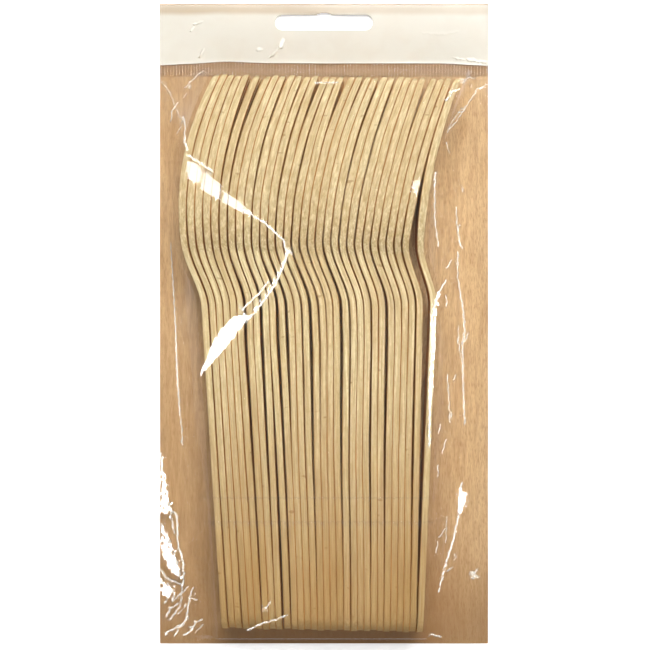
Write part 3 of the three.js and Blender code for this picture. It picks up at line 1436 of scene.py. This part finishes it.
def refine_near(piece: bpy.types.Object, folds: tuple[Crease | Facet, ...]) -> None:
    """Subdivides the faces that creases and facets cross.

    Args:
        piece: A sheet, with its vertices in place in X and Y.
        folds: The creases and facets.
    """
    middles = face_middles(piece.data) / MM
    chosen = np.zeros(len(middles), bool)
    for fold in folds:
        chosen |= fold.near(middles[:, 0], middles[:, 1], FINE_MARGIN)
    select_faces(piece, chosen)
    bpy.ops.mesh.subdivide(number_cuts=FINE_CUTS, quadcorner="INNERVERT")
    bpy.ops.object.mode_set(mode="OBJECT")


FRONT_CREASES = (
    # The two arms of the large fold over the necks, on the left
    Crease(
        ((-23.6, 33.0, 1.0), (-17.8, 29.7, 0.9), (-14.4, 26.9, 0.7), (-11.9, 24.3, 0.6),
         (-11.0, 21.6, 0.5)),
        slope=0.41, haze_and_glint=0.95,
    ),
    Crease(((-39.6, 49.0, 0.5), (-36.2, 46.8, 0.6), (-32.4, 44.3, 0.4)), slope=0.31, haze_and_glint=0.7),
    Crease(
        ((-22.6, 0.4, 1.2), (-18.3, 5.9, 1.3), (-14.5, 11.1, 1.2), (-12.4, 15.8, 1.0),
         (-10.8, 19.7, 0.9), (-10.9, 22.2, 0.7)),
        slope=0.42, haze_and_glint=0.95,
    ),
    Crease(((-23.7, 4.5, 0.4), (-19.6, 8.4, 0.6), (-16.2, 12.4, 0.5)), slope=0.42, haze_and_glint=0.7),
    # Beside the heads, on the left
    Crease(((-49.4, 73.7, 0.5), (-46.6, 69.9, 0.5), (-44.8, 65.2, 0.5), (-42.6, 61.0, 0.5)), haze_and_glint=0.25),
    Crease(((-41.6, 61.2, 0.7), (-40.6, 58.0, 0.9), (-40.6, 53.5, 0.7), (-39.8, 50.5, 0.5)), haze_and_glint=0.8),
    Crease(((-41.4, 70.4, 0.6), (-37.6, 73.0, 0.4), (-35.0, 74.6, 0.4)), haze_and_glint=0.3),
    # The foot of the tent beside the handles, on the left
    Crease(
        ((-44.5, -19.7, 0.5), (-44.9, -12.9, 0.5), (-45.1, -3.5, 0.6),
         (-45.7, 7.7, 0.6), (-46.6, 24.5, 0.4)),
        haze_and_glint=0.75,
    ),
    Crease(((-43.2, -36.0, 0.4), (-43.2, -32.6, 0.5), (-43.9, -27.2, 0.5), (-44.5, -19.7, 0.5)), haze_and_glint=0.6),
    # Crumpled weld at the lower left
    Crease(((-46.4, -57.6, 0.6), (-47.2, -54.5, 0.6), (-48.4, -49.5, 0.6), (-50.0, -39.0, 0.4)), haze_and_glint=0.7),
    Crease(((-45.7, -63.8, 0.4), (-46.7, -57.2, 0.7)), haze_and_glint=0.6),
    Crease(
        ((-43.0, -79.7, 0.6), (-42.7, -77.2, 0.9), (-43.0, -72.3, 1.1),
         (-44.6, -66.8, 0.8), (-44.8, -58.9, 0.7), (-46.4, -56.2, 0.5)),
        haze_and_glint=1.0,
    ),
    Crease(((-43.4, -77.5, 0.5), (-45.7, -69.1, 0.6), (-48.0, -64.4, 0.6), (-50.0, -60.5, 0.5)), haze_and_glint=0.7),
    Crease(((-43.2, -79.5, 0.6), (-47.6, -77.7, 0.7), (-50.0, -74.8, 0.6)), haze_and_glint=0.6),
    Crease(((-46.0, -84.6, 0.5), (-45.6, -81.8, 0.6), (-47.8, -79.2, 0.5)), haze_and_glint=0.7),
    Crease(((-46.7, -90.1, 0.4), (-43.7, -85.7, 0.7), (-43.2, -79.7, 0.5)), haze_and_glint=0.5),
    Crease(((-42.5, -90.9, 0.5), (-41.7, -88.6, 0.7), (-41.0, -83.2, 0.6), (-39.7, -80.2, 0.4)), haze_and_glint=0.7),
    Crease(((-48.2, -94.1, 0.5), (-45.9, -93.1, 0.7), (-42.5, -90.9, 0.5)), haze_and_glint=0.5),
    Crease(((-45.7, -84.2, 0.4), (-41.4, -80.2, 0.5)), haze_and_glint=0.5),
    Crease(((-38.5, -83.6, 0.4), (-40.5, -83.7, 0.5)), haze_and_glint=0.6),
    Crease(((-39.2, -94.1, 0.3), (-36.3, -90.4, 0.4)), haze_and_glint=0.3),
    # Beside the heads, on the right
    Crease(
        ((49.7, 72.8, 0.4), (46.7, 71.5, 0.6), (42.9, 65.5, 0.5), (39.0, 59.7, 0.6),
         (35.8, 55.8, 0.5)),
        haze_and_glint=0.4,
    ),
    Crease(((45.6, 74.0, 0.3), (42.0, 72.1, 0.5), (40.4, 70.0, 0.3)), haze_and_glint=0.4),
    Crease(((41.0, 64.0, 0.4), (38.2, 60.2, 0.5), (36.0, 56.5, 0.4)), haze_and_glint=0.3),
    Crease(((35.6, 53.0, 0.4), (37.3, 50.7, 0.4)), haze_and_glint=0.4),
    Crease(
        ((32.4, 44.0, 0.5), (32.2, 38.7, 0.7), (32.5, 30.3, 0.7), (33.2, 26.7, 0.6),
         (33.9, 23.0, 0.4)),
        haze_and_glint=0.6,
    ),
    # The shoulder and the foot of the tent beside the handles, on the right
    Crease(
        ((36.4, 13.1, 0.5), (34.0, 9.5, 1.2), (32.2, 4.4, 1.8), (31.8, 0.0, 1.6),
         (31.9, -8.0, 1.4), (31.4, -17.2, 1.1), (31.2, -26.4, 0.8), (31.1, -36.0, 0.4)),
        slope=0.33, haze_and_glint=0.8,
    ),
    Crease(((40.0, 35.4, 0.3), (40.5, 29.8, 0.5), (41.3, 25.0, 0.6), (42.0, 23.0, 0.9)), haze_and_glint=0.6),
    Crease(
        ((40.8, 22.0, 0.4), (40.6, 14.3, 0.5), (41.3, 10.2, 0.6), (42.3, 5.0, 1.0),
         (42.6, 1.9, 1.8), (42.9, -2.5, 1.5), (42.2, -5.8, 0.7), (42.3, -14.7, 0.7),
         (42.6, -24.2, 0.7), (42.9, -30.5, 0.4)),
        haze_and_glint=0.6,
    ),
    Crease(((40.6, -0.7, 0.3), (40.9, -6.0, 0.5), (41.5, -10.2, 0.3)), haze_and_glint=0.4),
    Crease(((36.8, -15.3, 0.4), (37.4, -22.9, 0.5), (37.7, -29.8, 0.4)), haze_and_glint=0.5),
    Crease(((34.5, -29.8, 0.4), (34.0, -32.4, 0.6)), haze_and_glint=0.5),
    Crease(((36.4, -34.9, 0.4), (35.2, -38.7, 0.6)), haze_and_glint=0.5),
    Crease(((33.8, -41.9, 0.4), (33.8, -45.5, 0.5)), haze_and_glint=0.5),
    Crease(
        ((42.0, -48.6, 0.6), (41.4, -52.5, 1.2), (40.9, -59.0, 1.2), (39.4, -65.9, 1.1),
         (37.7, -71.5, 0.9), (36.1, -76.6, 0.8), (34.9, -81.6, 0.4)),
        haze_and_glint=1.0,
    ),
    Crease(((37.0, -58.3, 0.3), (37.0, -66.5, 0.4)), haze_and_glint=0.4),
    Crease(((46.6, -74.7, 0.4), (45.4, -77.9, 0.5)), haze_and_glint=0.5),
    Crease(((31.4, -94.3, 0.4), (35.8, -95.5, 0.6)), haze_and_glint=0.5),
    # Across the handles, the tips and the handles' ends
    Crease(((-37.0, -51.5, 0.4), (31.0, -51.5, 0.4)), slope=0.03, haze_and_glint=0.05),
    Crease(((-36.5, -58.6, 0.4), (40.0, -58.6, 0.4)), slope=0.03, haze_and_glint=0.05),
    Crease(((-2.6, 70.1, 0.4), (4.1, 70.1, 0.5)), slope=0.08, haze_and_glint=0.4),
    Crease(((-22.7, -90.7, 0.3), (-18.3, -88.6, 0.5), (-14.5, -87.6, 0.4), (-11.1, -86.2, 0.4)), haze_and_glint=0.5),
    Crease(((-17.2, -84.1, 0.3), (-15.9, -82.4, 0.6)), haze_and_glint=0.6),
)


@dataclass(frozen=True)
class Scuffs:
    """A patch of film with short fine creases scattered over it.

    Each pair of length and haze is the least, and how much the longest crease adds to it.
    """

    middle: Pair
    half_size: Pair
    count: int
    lean: float
    steps: tuple[float, ...] = (1.0, 3.7, 7.3, 11.9)
    turn: float = 70.0
    half_length: Pair = (0.4, 1.6)
    # White of the strokes: part crease whitening, part painted glint
    haze_and_glint: Pair = (0.3, 0.35)
    end_width: float = 0.3
    middle_width: float = 0.5
    bow: float = 0.15

    def stroke(self, index: int) -> Crease:
        """Draws one crease, placed and turned by golden-ratio sequences.

        Args:
            index: Which crease.

        Returns:
            The crease.
        """
        across, along, turn, size = ((GOLDEN * (index + 1) * step) % 1 for step in self.steps)
        angle = math.radians(self.lean + self.turn * (turn - 0.5))
        reach = self.half_length[0] + self.half_length[1] * size
        x = self.middle[0] + self.half_size[0] * (2 * across - 1)
        y = self.middle[1] + self.half_size[1] * (2 * along - 1)
        dx, dy = reach * math.cos(angle), reach * math.sin(angle)
        start = (x - dx, y - dy, self.end_width)
        bowed = (x + self.bow * dy, y - self.bow * dx, self.middle_width)
        end = (x + dx, y + dy, self.end_width)
        return Crease((start, bowed, end), haze_and_glint=self.haze_and_glint[0] + self.haze_and_glint[1] * size)

    def strokes(self) -> tuple[Crease, ...]:
        """Draws all of the patch's creases."""
        return tuple(self.stroke(index) for index in range(self.count))


FRONT_SCUFFS = (
    *Scuffs((-43.0, -87.0), (5.5, 7.0), 14, 60.0).strokes(),
    *Scuffs((38.5, -65.0), (6.0, 14.0), 6, 75.0).strokes(),
    *Scuffs((39.5, 12.0), (4.0, 40.0), 9, 88.0).strokes(),
    *Scuffs((40.5, 67.0), (5.0, 6.0), 5, 50.0).strokes(),
    *Scuffs((-43.0, 64.0), (4.0, 9.0), 6, 75.0).strokes(),
)

FRONT_FACETS = (
    # The broad end of the large fold's upper arm
    Facet(
        ((-40.0, 47.8), (-40.0, 40.4), (-37.8, 40.4), (-35.2, 38.6), (-33.9, 44.4),
         (-36.6, 46.8)),
        KEY, sink=0.3,
    ),
    Facet(((-34.9, 45.0), (-36.2, 39.0), (-32.6, 36.4), (-28.7, 34.8), (-28.7, 39.2)), KEY, sink=0.3),
    Facet(((-29.7, 39.8), (-29.7, 35.0), (-25.5, 32.7), (-20.6, 30.6), (-20.6, 32.6)), KEY, sink=0.3),
    # The broad end of the large fold's lower arm
    Facet(
        ((-37.4, -16.6), (-32.2, -11.6), (-26.2, -4.9), (-20.6, 2.6), (-22.8, 3.2),
         (-26.5, 2.4), (-30.6, -1.4), (-33.6, -6.6)),
        LEFT_STRIP,
    ),
    # A small dimple over the heads, on the right
    Facet(
        ((27.9, 43.1), (26.1, 41.4), (25.1, 39.6), (25.4, 37.9), (26.7, 36.9),
         (27.5, 38.6), (28.2, 41.4)),
        KEY, sink=0.3,
    ),
    # Crumpled weld at the lower left
    Facet(
        ((-50.0, -36.0), (-50.0, -57.4), (-47.0, -58.6), (-46.0, -55.4), (-47.4, -48.8),
         (-48.8, -41.6)),
        LEFT_STRIP, rag=0.9,
    ),
    Facet(
        ((-50.0, -60.0), (-50.0, -69.4), (-47.0, -75.0), (-43.2, -78.4), (-43.2, -74.4),
         (-45.2, -68.6), (-47.6, -63.6)),
        LEFT_STRIP, rag=1.0,
    ),
    Facet(((-50.0, -77.4), (-50.0, -82.4), (-46.2, -84.6), (-45.2, -80.0)), LEFT_STRIP, rag=1.0),
    # The head of the long crease at the lower right
    Facet(((40.4, -49.8), (40.5, -58.8), (42.4, -57.0), (44.0, -51.2)), RIGHT_STRIP, rag=0.6),
)


# Height of the film over the stack along Y, and X of the tent's left and right foot
CREST = (
    (-95.0, 18.2), (-60.0, 18.6), (-20.0, 19.3), (10.0, 22.0), (34.0, 27.7), (56.0, 28.0), (76.0, 27.6),
)
LEFT_FOOT = (
    (-96.0, -39.8), (-60.0, -41.4), (-36.0, -43.2), (0.0, -45.3),
    (24.0, -46.7), (50.0, -46.2), (76.0, -48.4),
)
RIGHT_FOOT = (
    (-96.0, 32.4), (-72.0, 36.6), (-50.0, 40.6), (-30.0, 41.9),
    (0.0, 41.8), (24.0, 40.6), (50.0, 41.4), (76.0, 47.0),
)


@dataclass
class FrontFilm:
    """The bag's clear front, tented over the forks, with its ribbed weld under the header."""

    forks: ForkStack
    film: bpy.types.Material
    top: float = 75.6
    spans: tuple[int, ...] = (6, 12, 48, 10, 7)
    rows: int = 138
    flange_z: float = 0.3
    thick: float = 0.08
    shoulder: float = 1.0
    bottom_base: float = -96.6
    bottom_crest: float = -93.0
    top_crest: float = 74.2
    top_base: float = 75.4
    lift_from: float = 44.0
    lift_most: float = 0.9
    lift_ends: float = 14.0
    crumple: Pair = (0.02, 0.12)
    crumple_reach: float = 3.0
    calm_rise: float = 0.12
    calm_side: float = 1.5
    calm_bottom: float = 2.0
    rib_faces: int = 10
    rib_rows: int = 10
    rib_sharp: int = 6
    rib_height: float = 0.03
    rib_slope: float = 0.08
    # White along the ribs' crests: part weld whitening, part painted glint
    rib_white: Pair = (0.13, 0.09)
    rib_start: float = 0.5
    seal_top: float = 80.6
    smooth_angle: float = 35.0
    rib_smooth_angle: float = 60.0

    @property
    def columns(self) -> int:
        """How many columns of faces the film has."""
        return sum(self.spans)

    def crest(self, y: np.ndarray) -> np.ndarray:
        """Height of the film over the stack.

        Args:
            y: Places along the pack.

        Returns:
            The height at each place.
        """
        fine = np.linspace(-110.0, 90.0, 801)
        window = np.hanning(41)
        raw = np.pad(follow(CREST, fine), len(window) // 2, mode="edge")
        return np.interp(y, fine, np.convolve(raw, window / window.sum(), mode="valid"))

    def foot(self, side: int, y: np.ndarray) -> np.ndarray:
        """Where the film's sides come down to the back panel.

        Args:
            side: -1 for the left, 1 for the right.
            y: Places along the pack.

        Returns:
            X at each place.
        """
        return follow(LEFT_FOOT if side < 0 else RIGHT_FOOT, y)

    def shoulders(self, y: np.ndarray) -> tuple[np.ndarray, np.ndarray]:
        """Where the film turns down over the outer forks.

        Args:
            y: Places along the pack.

        Returns:
            X of the left and the right shoulder at each place.
        """
        forks = self.forks
        reach = np.clip(y, forks.end_y, forks.tip_y)
        half = forks.thickness(reach) / 2 + self.shoulder
        return forks.middle(forks.first, reach) - half, forks.middle(forks.loose, reach) + half

    def lay_out(self, flat: np.ndarray) -> np.ndarray:
        """Spreads a plain grid so that its lines run along the film's feet and shoulders.

        Args:
            flat: The grid's points, from -0.5 to 0.5.

        Returns:
            The points, flat on the table.
        """
        row = np.round((flat[:, 1] + 0.5) * self.rows)
        turns = (
            (0, BOTTOM),
            (1, self.bottom_base),
            (4, self.bottom_crest),
            (self.rows - 2, self.top_crest),
            (self.rows - 1, self.top_base),
            (self.rows, self.top),
        )
        y = follow(turns, row)
        left, right = self.shoulders(y)
        bends = (self.foot(-1, y), left, right, self.foot(1, y), np.full(y.shape, HALF_WIDTH))
        column = np.round((flat[:, 0] + 0.5) * self.columns)
        start, low = 0, np.full(y.shape, -HALF_WIDTH)
        x = low.copy()
        for width, high in zip(self.spans, bends):
            x += (high - low) * np.clip((column - start) / width, 0, 1)
            start, low = start + width, high
        return np.column_stack((x, y, np.zeros(y.shape)))

    def edge_lift(self, x: np.ndarray, y: np.ndarray) -> np.ndarray:
        """How far the pack's welded sides wave up off the table.

        Args:
            x: X of each point.
            y: Y of each point.

        Returns:
            The lift at each point.
        """
        out = np.clip((np.abs(x) - self.lift_from) / (HALF_WIDTH - self.lift_from), 0, 1)
        wave = 0.5 + 0.5 * np.sin(y * 0.11 + np.sign(x) * 1.3) * np.sin(y * 0.043 + 0.6)
        ends = ease((y - BOTTOM) / self.lift_ends) * ease((self.top - y) / self.lift_ends)
        return self.lift_most * out**2 * wave * ends

    def height(self, x: np.ndarray, y: np.ndarray) -> np.ndarray:
        """Height of the smooth tent.

        Args:
            x: X of each point.
            y: Y of each point.

        Returns:
            The height at each point.
        """
        left, right = self.shoulders(y)
        left_wall = (x - self.foot(-1, y)) / (left - self.foot(-1, y))
        right_wall = (self.foot(1, y) - x) / (self.foot(1, y) - right)
        bottom_wall = (y - self.bottom_base) / (self.bottom_crest - self.bottom_base)
        top_wall = (self.top_base - y) / (self.top_base - self.top_crest)
        sides = np.minimum(np.clip(left_wall, 0, 1), np.clip(right_wall, 0, 1))
        ends = np.minimum(np.clip(bottom_wall, 0, 1), np.clip(top_wall, 0, 1))
        reach = np.clip(y, self.forks.end_y, self.forks.tip_y)
        return self.flange_z + (self.crest(reach) - self.flange_z) * sides * ends

    def wrinkles(self, x: np.ndarray, y: np.ndarray) -> np.ndarray:
        """Small crumples, strongest beside the stack.

        Args:
            x: X of each point.
            y: Y of each point.

        Returns:
            How far each point rises.
        """
        forks = self.forks
        reach = np.clip(y, forks.end_y, forks.tip_y)
        left = forks.middle(forks.first, reach)
        right = forks.middle(forks.loose, reach)
        outside = np.clip(np.maximum(left - x, x - right) / self.crumple_reach, 0, 1)
        rough = [
            noise.ridged_multi_fractal(Vector((px * 0.13, py * 0.08, 3.7)), 0.9, 2.1, 4, 1.0, 2.0)
            for px, py in zip(x, y)
        ]
        over_stack, more_outside = self.crumple
        return (over_stack + more_outside * outside) * np.array(rough)

    def build_film(self) -> None:
        """Shapes the clear front."""
        piece = add_grid("front_film_clear", self.columns, self.rows)
        write_points(piece.data, self.lay_out(read_points(piece.data)) * MM)
        creases = FRONT_CREASES + FRONT_SCUFFS
        refine_near(piece, creases + FRONT_FACETS)
        x, y, _ = (read_points(piece.data) / MM).T
        rise, white = crease_film(creases, x, y)
        border = ease((HALF_WIDTH - np.abs(x)) / self.calm_side)
        border = border * ease((y - BOTTOM) / self.calm_bottom)
        calm = 1 - ease(rise / self.calm_rise)
        z = self.height(x, y) + self.edge_lift(x, y) + (rise + self.wrinkles(x, y) * calm) * border
        for facet in FRONT_FACETS:
            z = facet.flatten(x, y, z)
        write_points(piece.data, np.column_stack((x, y, z)) * MM)
        write_mark(piece.data, Mark.HAZE_AND_GLINT, white)
        apply_modifier(piece, "SOLIDIFY", thickness=self.thick * MM, offset=1.0)
        smooth_shade(piece, self.smooth_angle)
        finish_piece(piece, Slot.FILM, self.film, "front_film")

    def build_ribs(self) -> None:
        """Shapes the ribbed weld between the tent and the header."""
        columns = int(2 * HALF_WIDTH / RIB_PITCH) * self.rib_faces
        piece = add_grid("front_film_ribbed_weld", columns, self.rib_rows)
        flat = read_points(piece.data)
        x = flat[:, 0] * 2 * HALF_WIDTH
        low = self.top_base
        y = low + (flat[:, 1] + 0.5) * (self.seal_top - low)
        phase = x / RIB_PITCH * 2 * math.pi + RIB_DRIFT * np.sin(x * RIB_DRIFT_RATE)
        phase = phase + 0.25 * np.sin(y * 1.7 + x)
        ridge = (0.5 + 0.5 * np.cos(phase)) ** self.rib_sharp * ease((y - low) / self.rib_start)
        z = self.flange_z + self.thick + self.rib_slope * (y - low) + self.rib_height * ridge
        write_points(piece.data, np.column_stack((x, y, z)) * MM)
        patchy = np.array([noise.noise(Vector((px * 0.35, py * 0.5, 1.0))) for px, py in zip(x, y)])
        even_white, patchy_white = self.rib_white
        # White along the ribs' crests: part weld whitening, part painted glint
        write_mark(piece.data, Mark.HAZE_AND_GLINT, ridge * (even_white + patchy_white * patchy))
        apply_modifier(piece, "SOLIDIFY", thickness=self.thick * MM, offset=1.0)
        smooth_shade(piece, self.rib_smooth_angle)
        finish_piece(piece, Slot.FILM, self.film, "front_film")

    def build(self) -> None:
        """Makes the film and its ribbed weld."""
        self.build_film()
        self.build_ribs()


@dataclass
class BackPanel:
    """The bag's printed back, flat on the table, with sides that wave with the film's."""

    front: FrontFilm
    print_film: bpy.types.Material
    columns: int = 60
    rows: int = 110
    top: float = 84.0
    seal_low: float = 75.6
    seal_high: float = 79.2
    layer: float = 0.3
    thick: float = 0.16
    smooth_angle: float = 40.0

    def build(self) -> None:
        """Shapes the back panel."""
        piece = add_grid("back_panel_print", self.columns, self.rows)
        flat = read_points(piece.data)
        x = flat[:, 0] * 2 * HALF_WIDTH
        y = BOTTOM + (flat[:, 1] + 0.5) * (self.top - BOTTOM)
        step = self.layer * np.clip((y - self.seal_low) / (self.seal_high - self.seal_low), 0, 1)
        z = step + self.front.edge_lift(x, np.minimum(y, self.front.top))
        write_points(piece.data, np.column_stack((x, y, z)) * MM)
        apply_modifier(piece, "SOLIDIFY", thickness=self.thick * MM, offset=1.0)
        smooth_shade(piece, self.smooth_angle)
        finish_piece(piece, Slot.PRINT, self.print_film, "back_panel")


HEADER_CREASES = (Crease(((30.0, 88.4, 0.6), (36.0, 88.0, 0.8), (40.5, 88.8, 0.6)), 0.04, 0.0),)

HEADER_GLINTS = (
    ((-40.9, 88.9), (-40.4, 88.9), (-39.2, 90.8), (-39.9, 91.3)),
    ((-39.9, 91.2), (-39.2, 90.7), (-36.6, 92.1), (-36.8, 92.4)),
    ((-38.3, 81.0), (-37.7, 81.1), (-36.2, 83.9), (-36.7, 84.0)),
    ((-20.6, 83.2), (-19.4, 82.9), (-18.5, 83.4), (-19.3, 84.1), (-20.2, 83.9)),
    ((-16.6, 81.0), (-15.6, 81.3), (-13.2, 83.6), (-13.6, 84.2), (-15.2, 82.6)),
    ((-13.8, 83.6), (-12.6, 83.9), (-11.9, 86.5), (-12.5, 87.0), (-13.6, 85.6)),
    ((38.6, 81.3), (41.0, 80.3), (42.6, 80.4), (40.2, 81.2)),
    ((42.8, 80.9), (44.4, 79.8), (46.8, 79.7), (45.2, 80.9)),
    ((46.6, 79.9), (49.6, 79.0), (49.7, 79.6), (47.6, 80.4)),
)
HEADER_FACETS = tuple(Facet(outline, KEY, 0.35, rag=0.12) for outline in HEADER_GLINTS)

# How far the front leaf's wavy lower edge stands above its mean line, along X
HEADER_EDGE = (
    (-50.0, -0.6), (-41.0, -0.2), (-30.0, 0.55), (-18.0, 0.05),
    (0.0, -0.05), (36.0, -0.05), (44.0, -0.5), (50.0, -0.75),
)


@dataclass
class Header:
    """One strip of cream film folded over the bag's top, with a hang slot through both leaves."""

    cream: bpy.types.Material
    columns: int = 100
    rows: int = 60
    low: float = 79.3
    high: float = 97.5
    height: float = 1.1
    thick: float = 0.16
    slot_width: float = 29.8
    slot_height: float = 4.8
    slot_y: float = 91.7
    bump_width: float = 4.6
    bump_height: float = 0.6
    cutter_depth: float = 8.0
    edge_reach: float = 4.0
    billow: float = 0.14
    lip: float = 0.06
    lip_reach: float = 0.5
    smooth_angle: float = 40.0

    def lower_edge(self, x: np.ndarray) -> np.ndarray:
        """The wavy lower edge of the front leaf.

        Args:
            x: Places across the pack.

        Returns:
            How far the edge stands above its mean line.
        """
        return follow(HEADER_EDGE, x)

    def outline(self, x: np.ndarray, share: np.ndarray) -> tuple[np.ndarray, np.ndarray]:
        """Follows the folded strip from its front edge over the fold to its back edge.

        Args:
            x: X of each point.
            share: How far along the strip, from 0 to 1.

        Returns:
            Y and Z of each point.
        """
        radius = self.height / 2
        leaf = self.high - radius - self.low
        bend = math.pi * radius
        length = 2 * leaf + bend
        run = share * length
        front = np.clip(run, 0, leaf)
        turn = np.clip((run - leaf) / radius, 0, math.pi)
        back = np.clip(run - leaf - bend, 0, leaf)
        edge = self.lower_edge(x) * np.clip(1 - front / self.edge_reach, 0, 1)
        y = self.low + front + edge + radius * np.sin(turn) - back
        z = radius + radius * np.cos(turn)
        return y, z

    def bar(self, sides: int, radius: float) -> tuple[bpy.types.Object, np.ndarray]:
        """Models an upright round bar to cut with.

        Args:
            sides: How many sides it has.
            radius: Its radius.

        Returns:
            The bar, and its points to move.
        """
        deselect_all()
        depth = self.cutter_depth * MM
        bpy.ops.mesh.primitive_cylinder_add(vertices=sides, radius=radius * MM, depth=depth)
        piece = bpy.context.object
        return piece, read_points(piece.data) / MM

    def slot_cutter(self) -> bpy.types.Object:
        """Models the slot as a solid bar with round ends.

        Returns:
            The solid to cut with.
        """
        round_end = self.slot_height / 2
        straight = self.slot_width / 2 - round_end
        piece, points = self.bar(48, round_end)
        points[:, 0] += np.sign(np.round(points[:, 0], 4)) * straight
        middle = np.abs(points[:, 0]) < 1e-3
        points[middle, 0] = straight
        points[:, 1] += self.slot_y
        write_points(piece.data, points * MM)
        return piece

    def bump_cutter(self) -> bpy.types.Object:
        """Models the slot's bump as a flattened round bar.

        Returns:
            The solid to cut with.
        """
        piece, points = self.bar(32, 1.0)
        points[:, 0] *= self.bump_width / 2
        points[:, 1] = points[:, 1] * self.bump_height + self.slot_y + self.slot_height / 2
        write_points(piece.data, points * MM)
        return piece

    def build(self) -> None:
        """Shapes the header and cuts its slot."""
        piece = add_grid("header_strip", self.columns, self.rows)
        flat = read_points(piece.data)
        x = flat[:, 0] * 2 * HALF_WIDTH
        share = flat[:, 1] + 0.5
        y, z = self.outline(x, share)
        write_points(piece.data, np.column_stack((x, y, z)) * MM)
        refine_near(piece, HEADER_CREASES + HEADER_FACETS)
        x, y, z = (read_points(piece.data) / MM).T
        front = z > self.height * 0.6
        rise, _ = crease_film(HEADER_CREASES, x, y)
        billow = self.billow * np.sin(x * 0.09 + 0.8) * np.sin((y - self.low) * 0.17)
        lip = self.lip * ease(1 - (y - self.low - self.lower_edge(x)) / self.lip_reach)
        raised = z + rise + np.abs(billow) + lip
        for facet in HEADER_FACETS:
            raised[front] = facet.flatten(x[front], y[front], raised[front])
        z = np.where(front, raised, z)
        write_points(piece.data, np.column_stack((x, y, z)) * MM)
        apply_modifier(piece, "SOLIDIFY", thickness=self.thick * MM, offset=-1.0)
        for cutter in (self.slot_cutter(), self.bump_cutter()):
            apply_modifier(piece, "BOOLEAN", operation="DIFFERENCE", object=cutter, solver="EXACT")
            bpy.data.objects.remove(cutter)
        smooth_shade(piece, self.smooth_angle)
        finish_piece(piece, Slot.HEADER, self.cream, "header")


# Studio


@dataclass
class Studio:
    """The white table, the lamps and the camera over the pack."""

    mm_per_pixel: float = 0.305
    frame_pixels: int = 650
    sensor: float = 36.0
    floor_size: float = 12.0
    floor_drop: float = 0.2
    floor_white: Colour = (0.82, 0.82, 0.82)
    floor_roughness: float = 0.9
    floor_glow: float = 0.5
    ambient: float = 0.14
    wall_top: float = 0.5
    wall_glow: float = 0.9
    lamps: tuple[Softbox, ...] = (KEY, FILL, KEY_GLINT, LEFT_STRIP, RIGHT_STRIP)

    def build_floor(self) -> None:
        """Adds the table, whiter to the camera than to the lamps' own light."""
        deselect_all()
        below = (0.0, 0.0, -self.floor_drop * MM)
        bpy.ops.mesh.primitive_plane_add(size=self.floor_size, location=below)
        floor = bpy.context.object
        floor.name = "table"
        material, graph = new_graph("table")
        path = graph.node("ShaderNodeLightPath").outputs
        seen = graph.maths("MAXIMUM", path["Is Camera Ray"], path["Is Glossy Ray"])
        seen = graph.maths("MAXIMUM", seen, path["Is Transmission Ray"])
        shader = graph.principled((*self.floor_white, 1.0), self.floor_roughness, 0.0)
        shader.inputs["Emission Color"].default_value = (*WHITE, 1.0)
        graph.feed(shader.inputs["Emission Strength"], graph.product(seen, self.floor_glow))
        floor.data.materials.append(material)

    def build_world(self) -> None:
        """Sets a dim even sky, white to the camera, with pale walls round it in the film's mirror."""
        world = bpy.data.worlds.new("studio")
        world.use_nodes = True
        graph = Graph(world.node_tree)
        path = graph.node("ShaderNodeLightPath").outputs
        _, _, up = graph.axes(graph.node("ShaderNodeTexCoord").outputs["Generated"])
        low = graph.spread(up, self.wall_top, 0.0)
        walls = graph.product(low, path["Is Glossy Ray"], self.wall_glow)
        glow = graph.maths("MAXIMUM", walls, path["Is Camera Ray"])
        strength = graph.maths("MAXIMUM", glow, self.ambient)
        graph.show(graph.lobe("ShaderNodeBackground", Strength=strength), "ShaderNodeOutputWorld")
        bpy.context.scene.world = world

    def build_camera(self) -> None:
        """Adds the camera, looking straight down."""
        camera = bpy.data.cameras.new("camera")
        camera.sensor_width = self.sensor
        camera.lens = self.sensor * EYE[2] / (self.mm_per_pixel * self.frame_pixels)
        camera.clip_start = 0.01
        camera.clip_end = 50.0
        holder = bpy.data.objects.new("camera", camera)
        holder.location = Vector(EYE) * MM
        bpy.context.collection.objects.link(holder)
        bpy.context.scene.camera = holder

    def build(self) -> None:
        """Sets up the whole studio."""
        bpy.context.scene.view_settings.view_transform = "Standard"
        self.build_floor()
        self.build_world()
        self.build_camera()
        for lamp in self.lamps:
            lamp.build()


def main() -> None:
    """Builds the pack, piece by piece, and the studio around it."""
    logging.basicConfig(level=logging.INFO, format="%(message)s")
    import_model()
    grain = grain_group()
    forks = ForkStack(ForkWood().build(grain))
    forks.build()
    front = FrontFilm(forks, ClearFilm().build())
    front.build()
    BackPanel(front, PrintedWood().build(grain)).build()
    Header(CreamFilm().build()).build()
    Studio().build()
    bpy.context.view_layer.update()


if __name__ == "__main__":
    main()
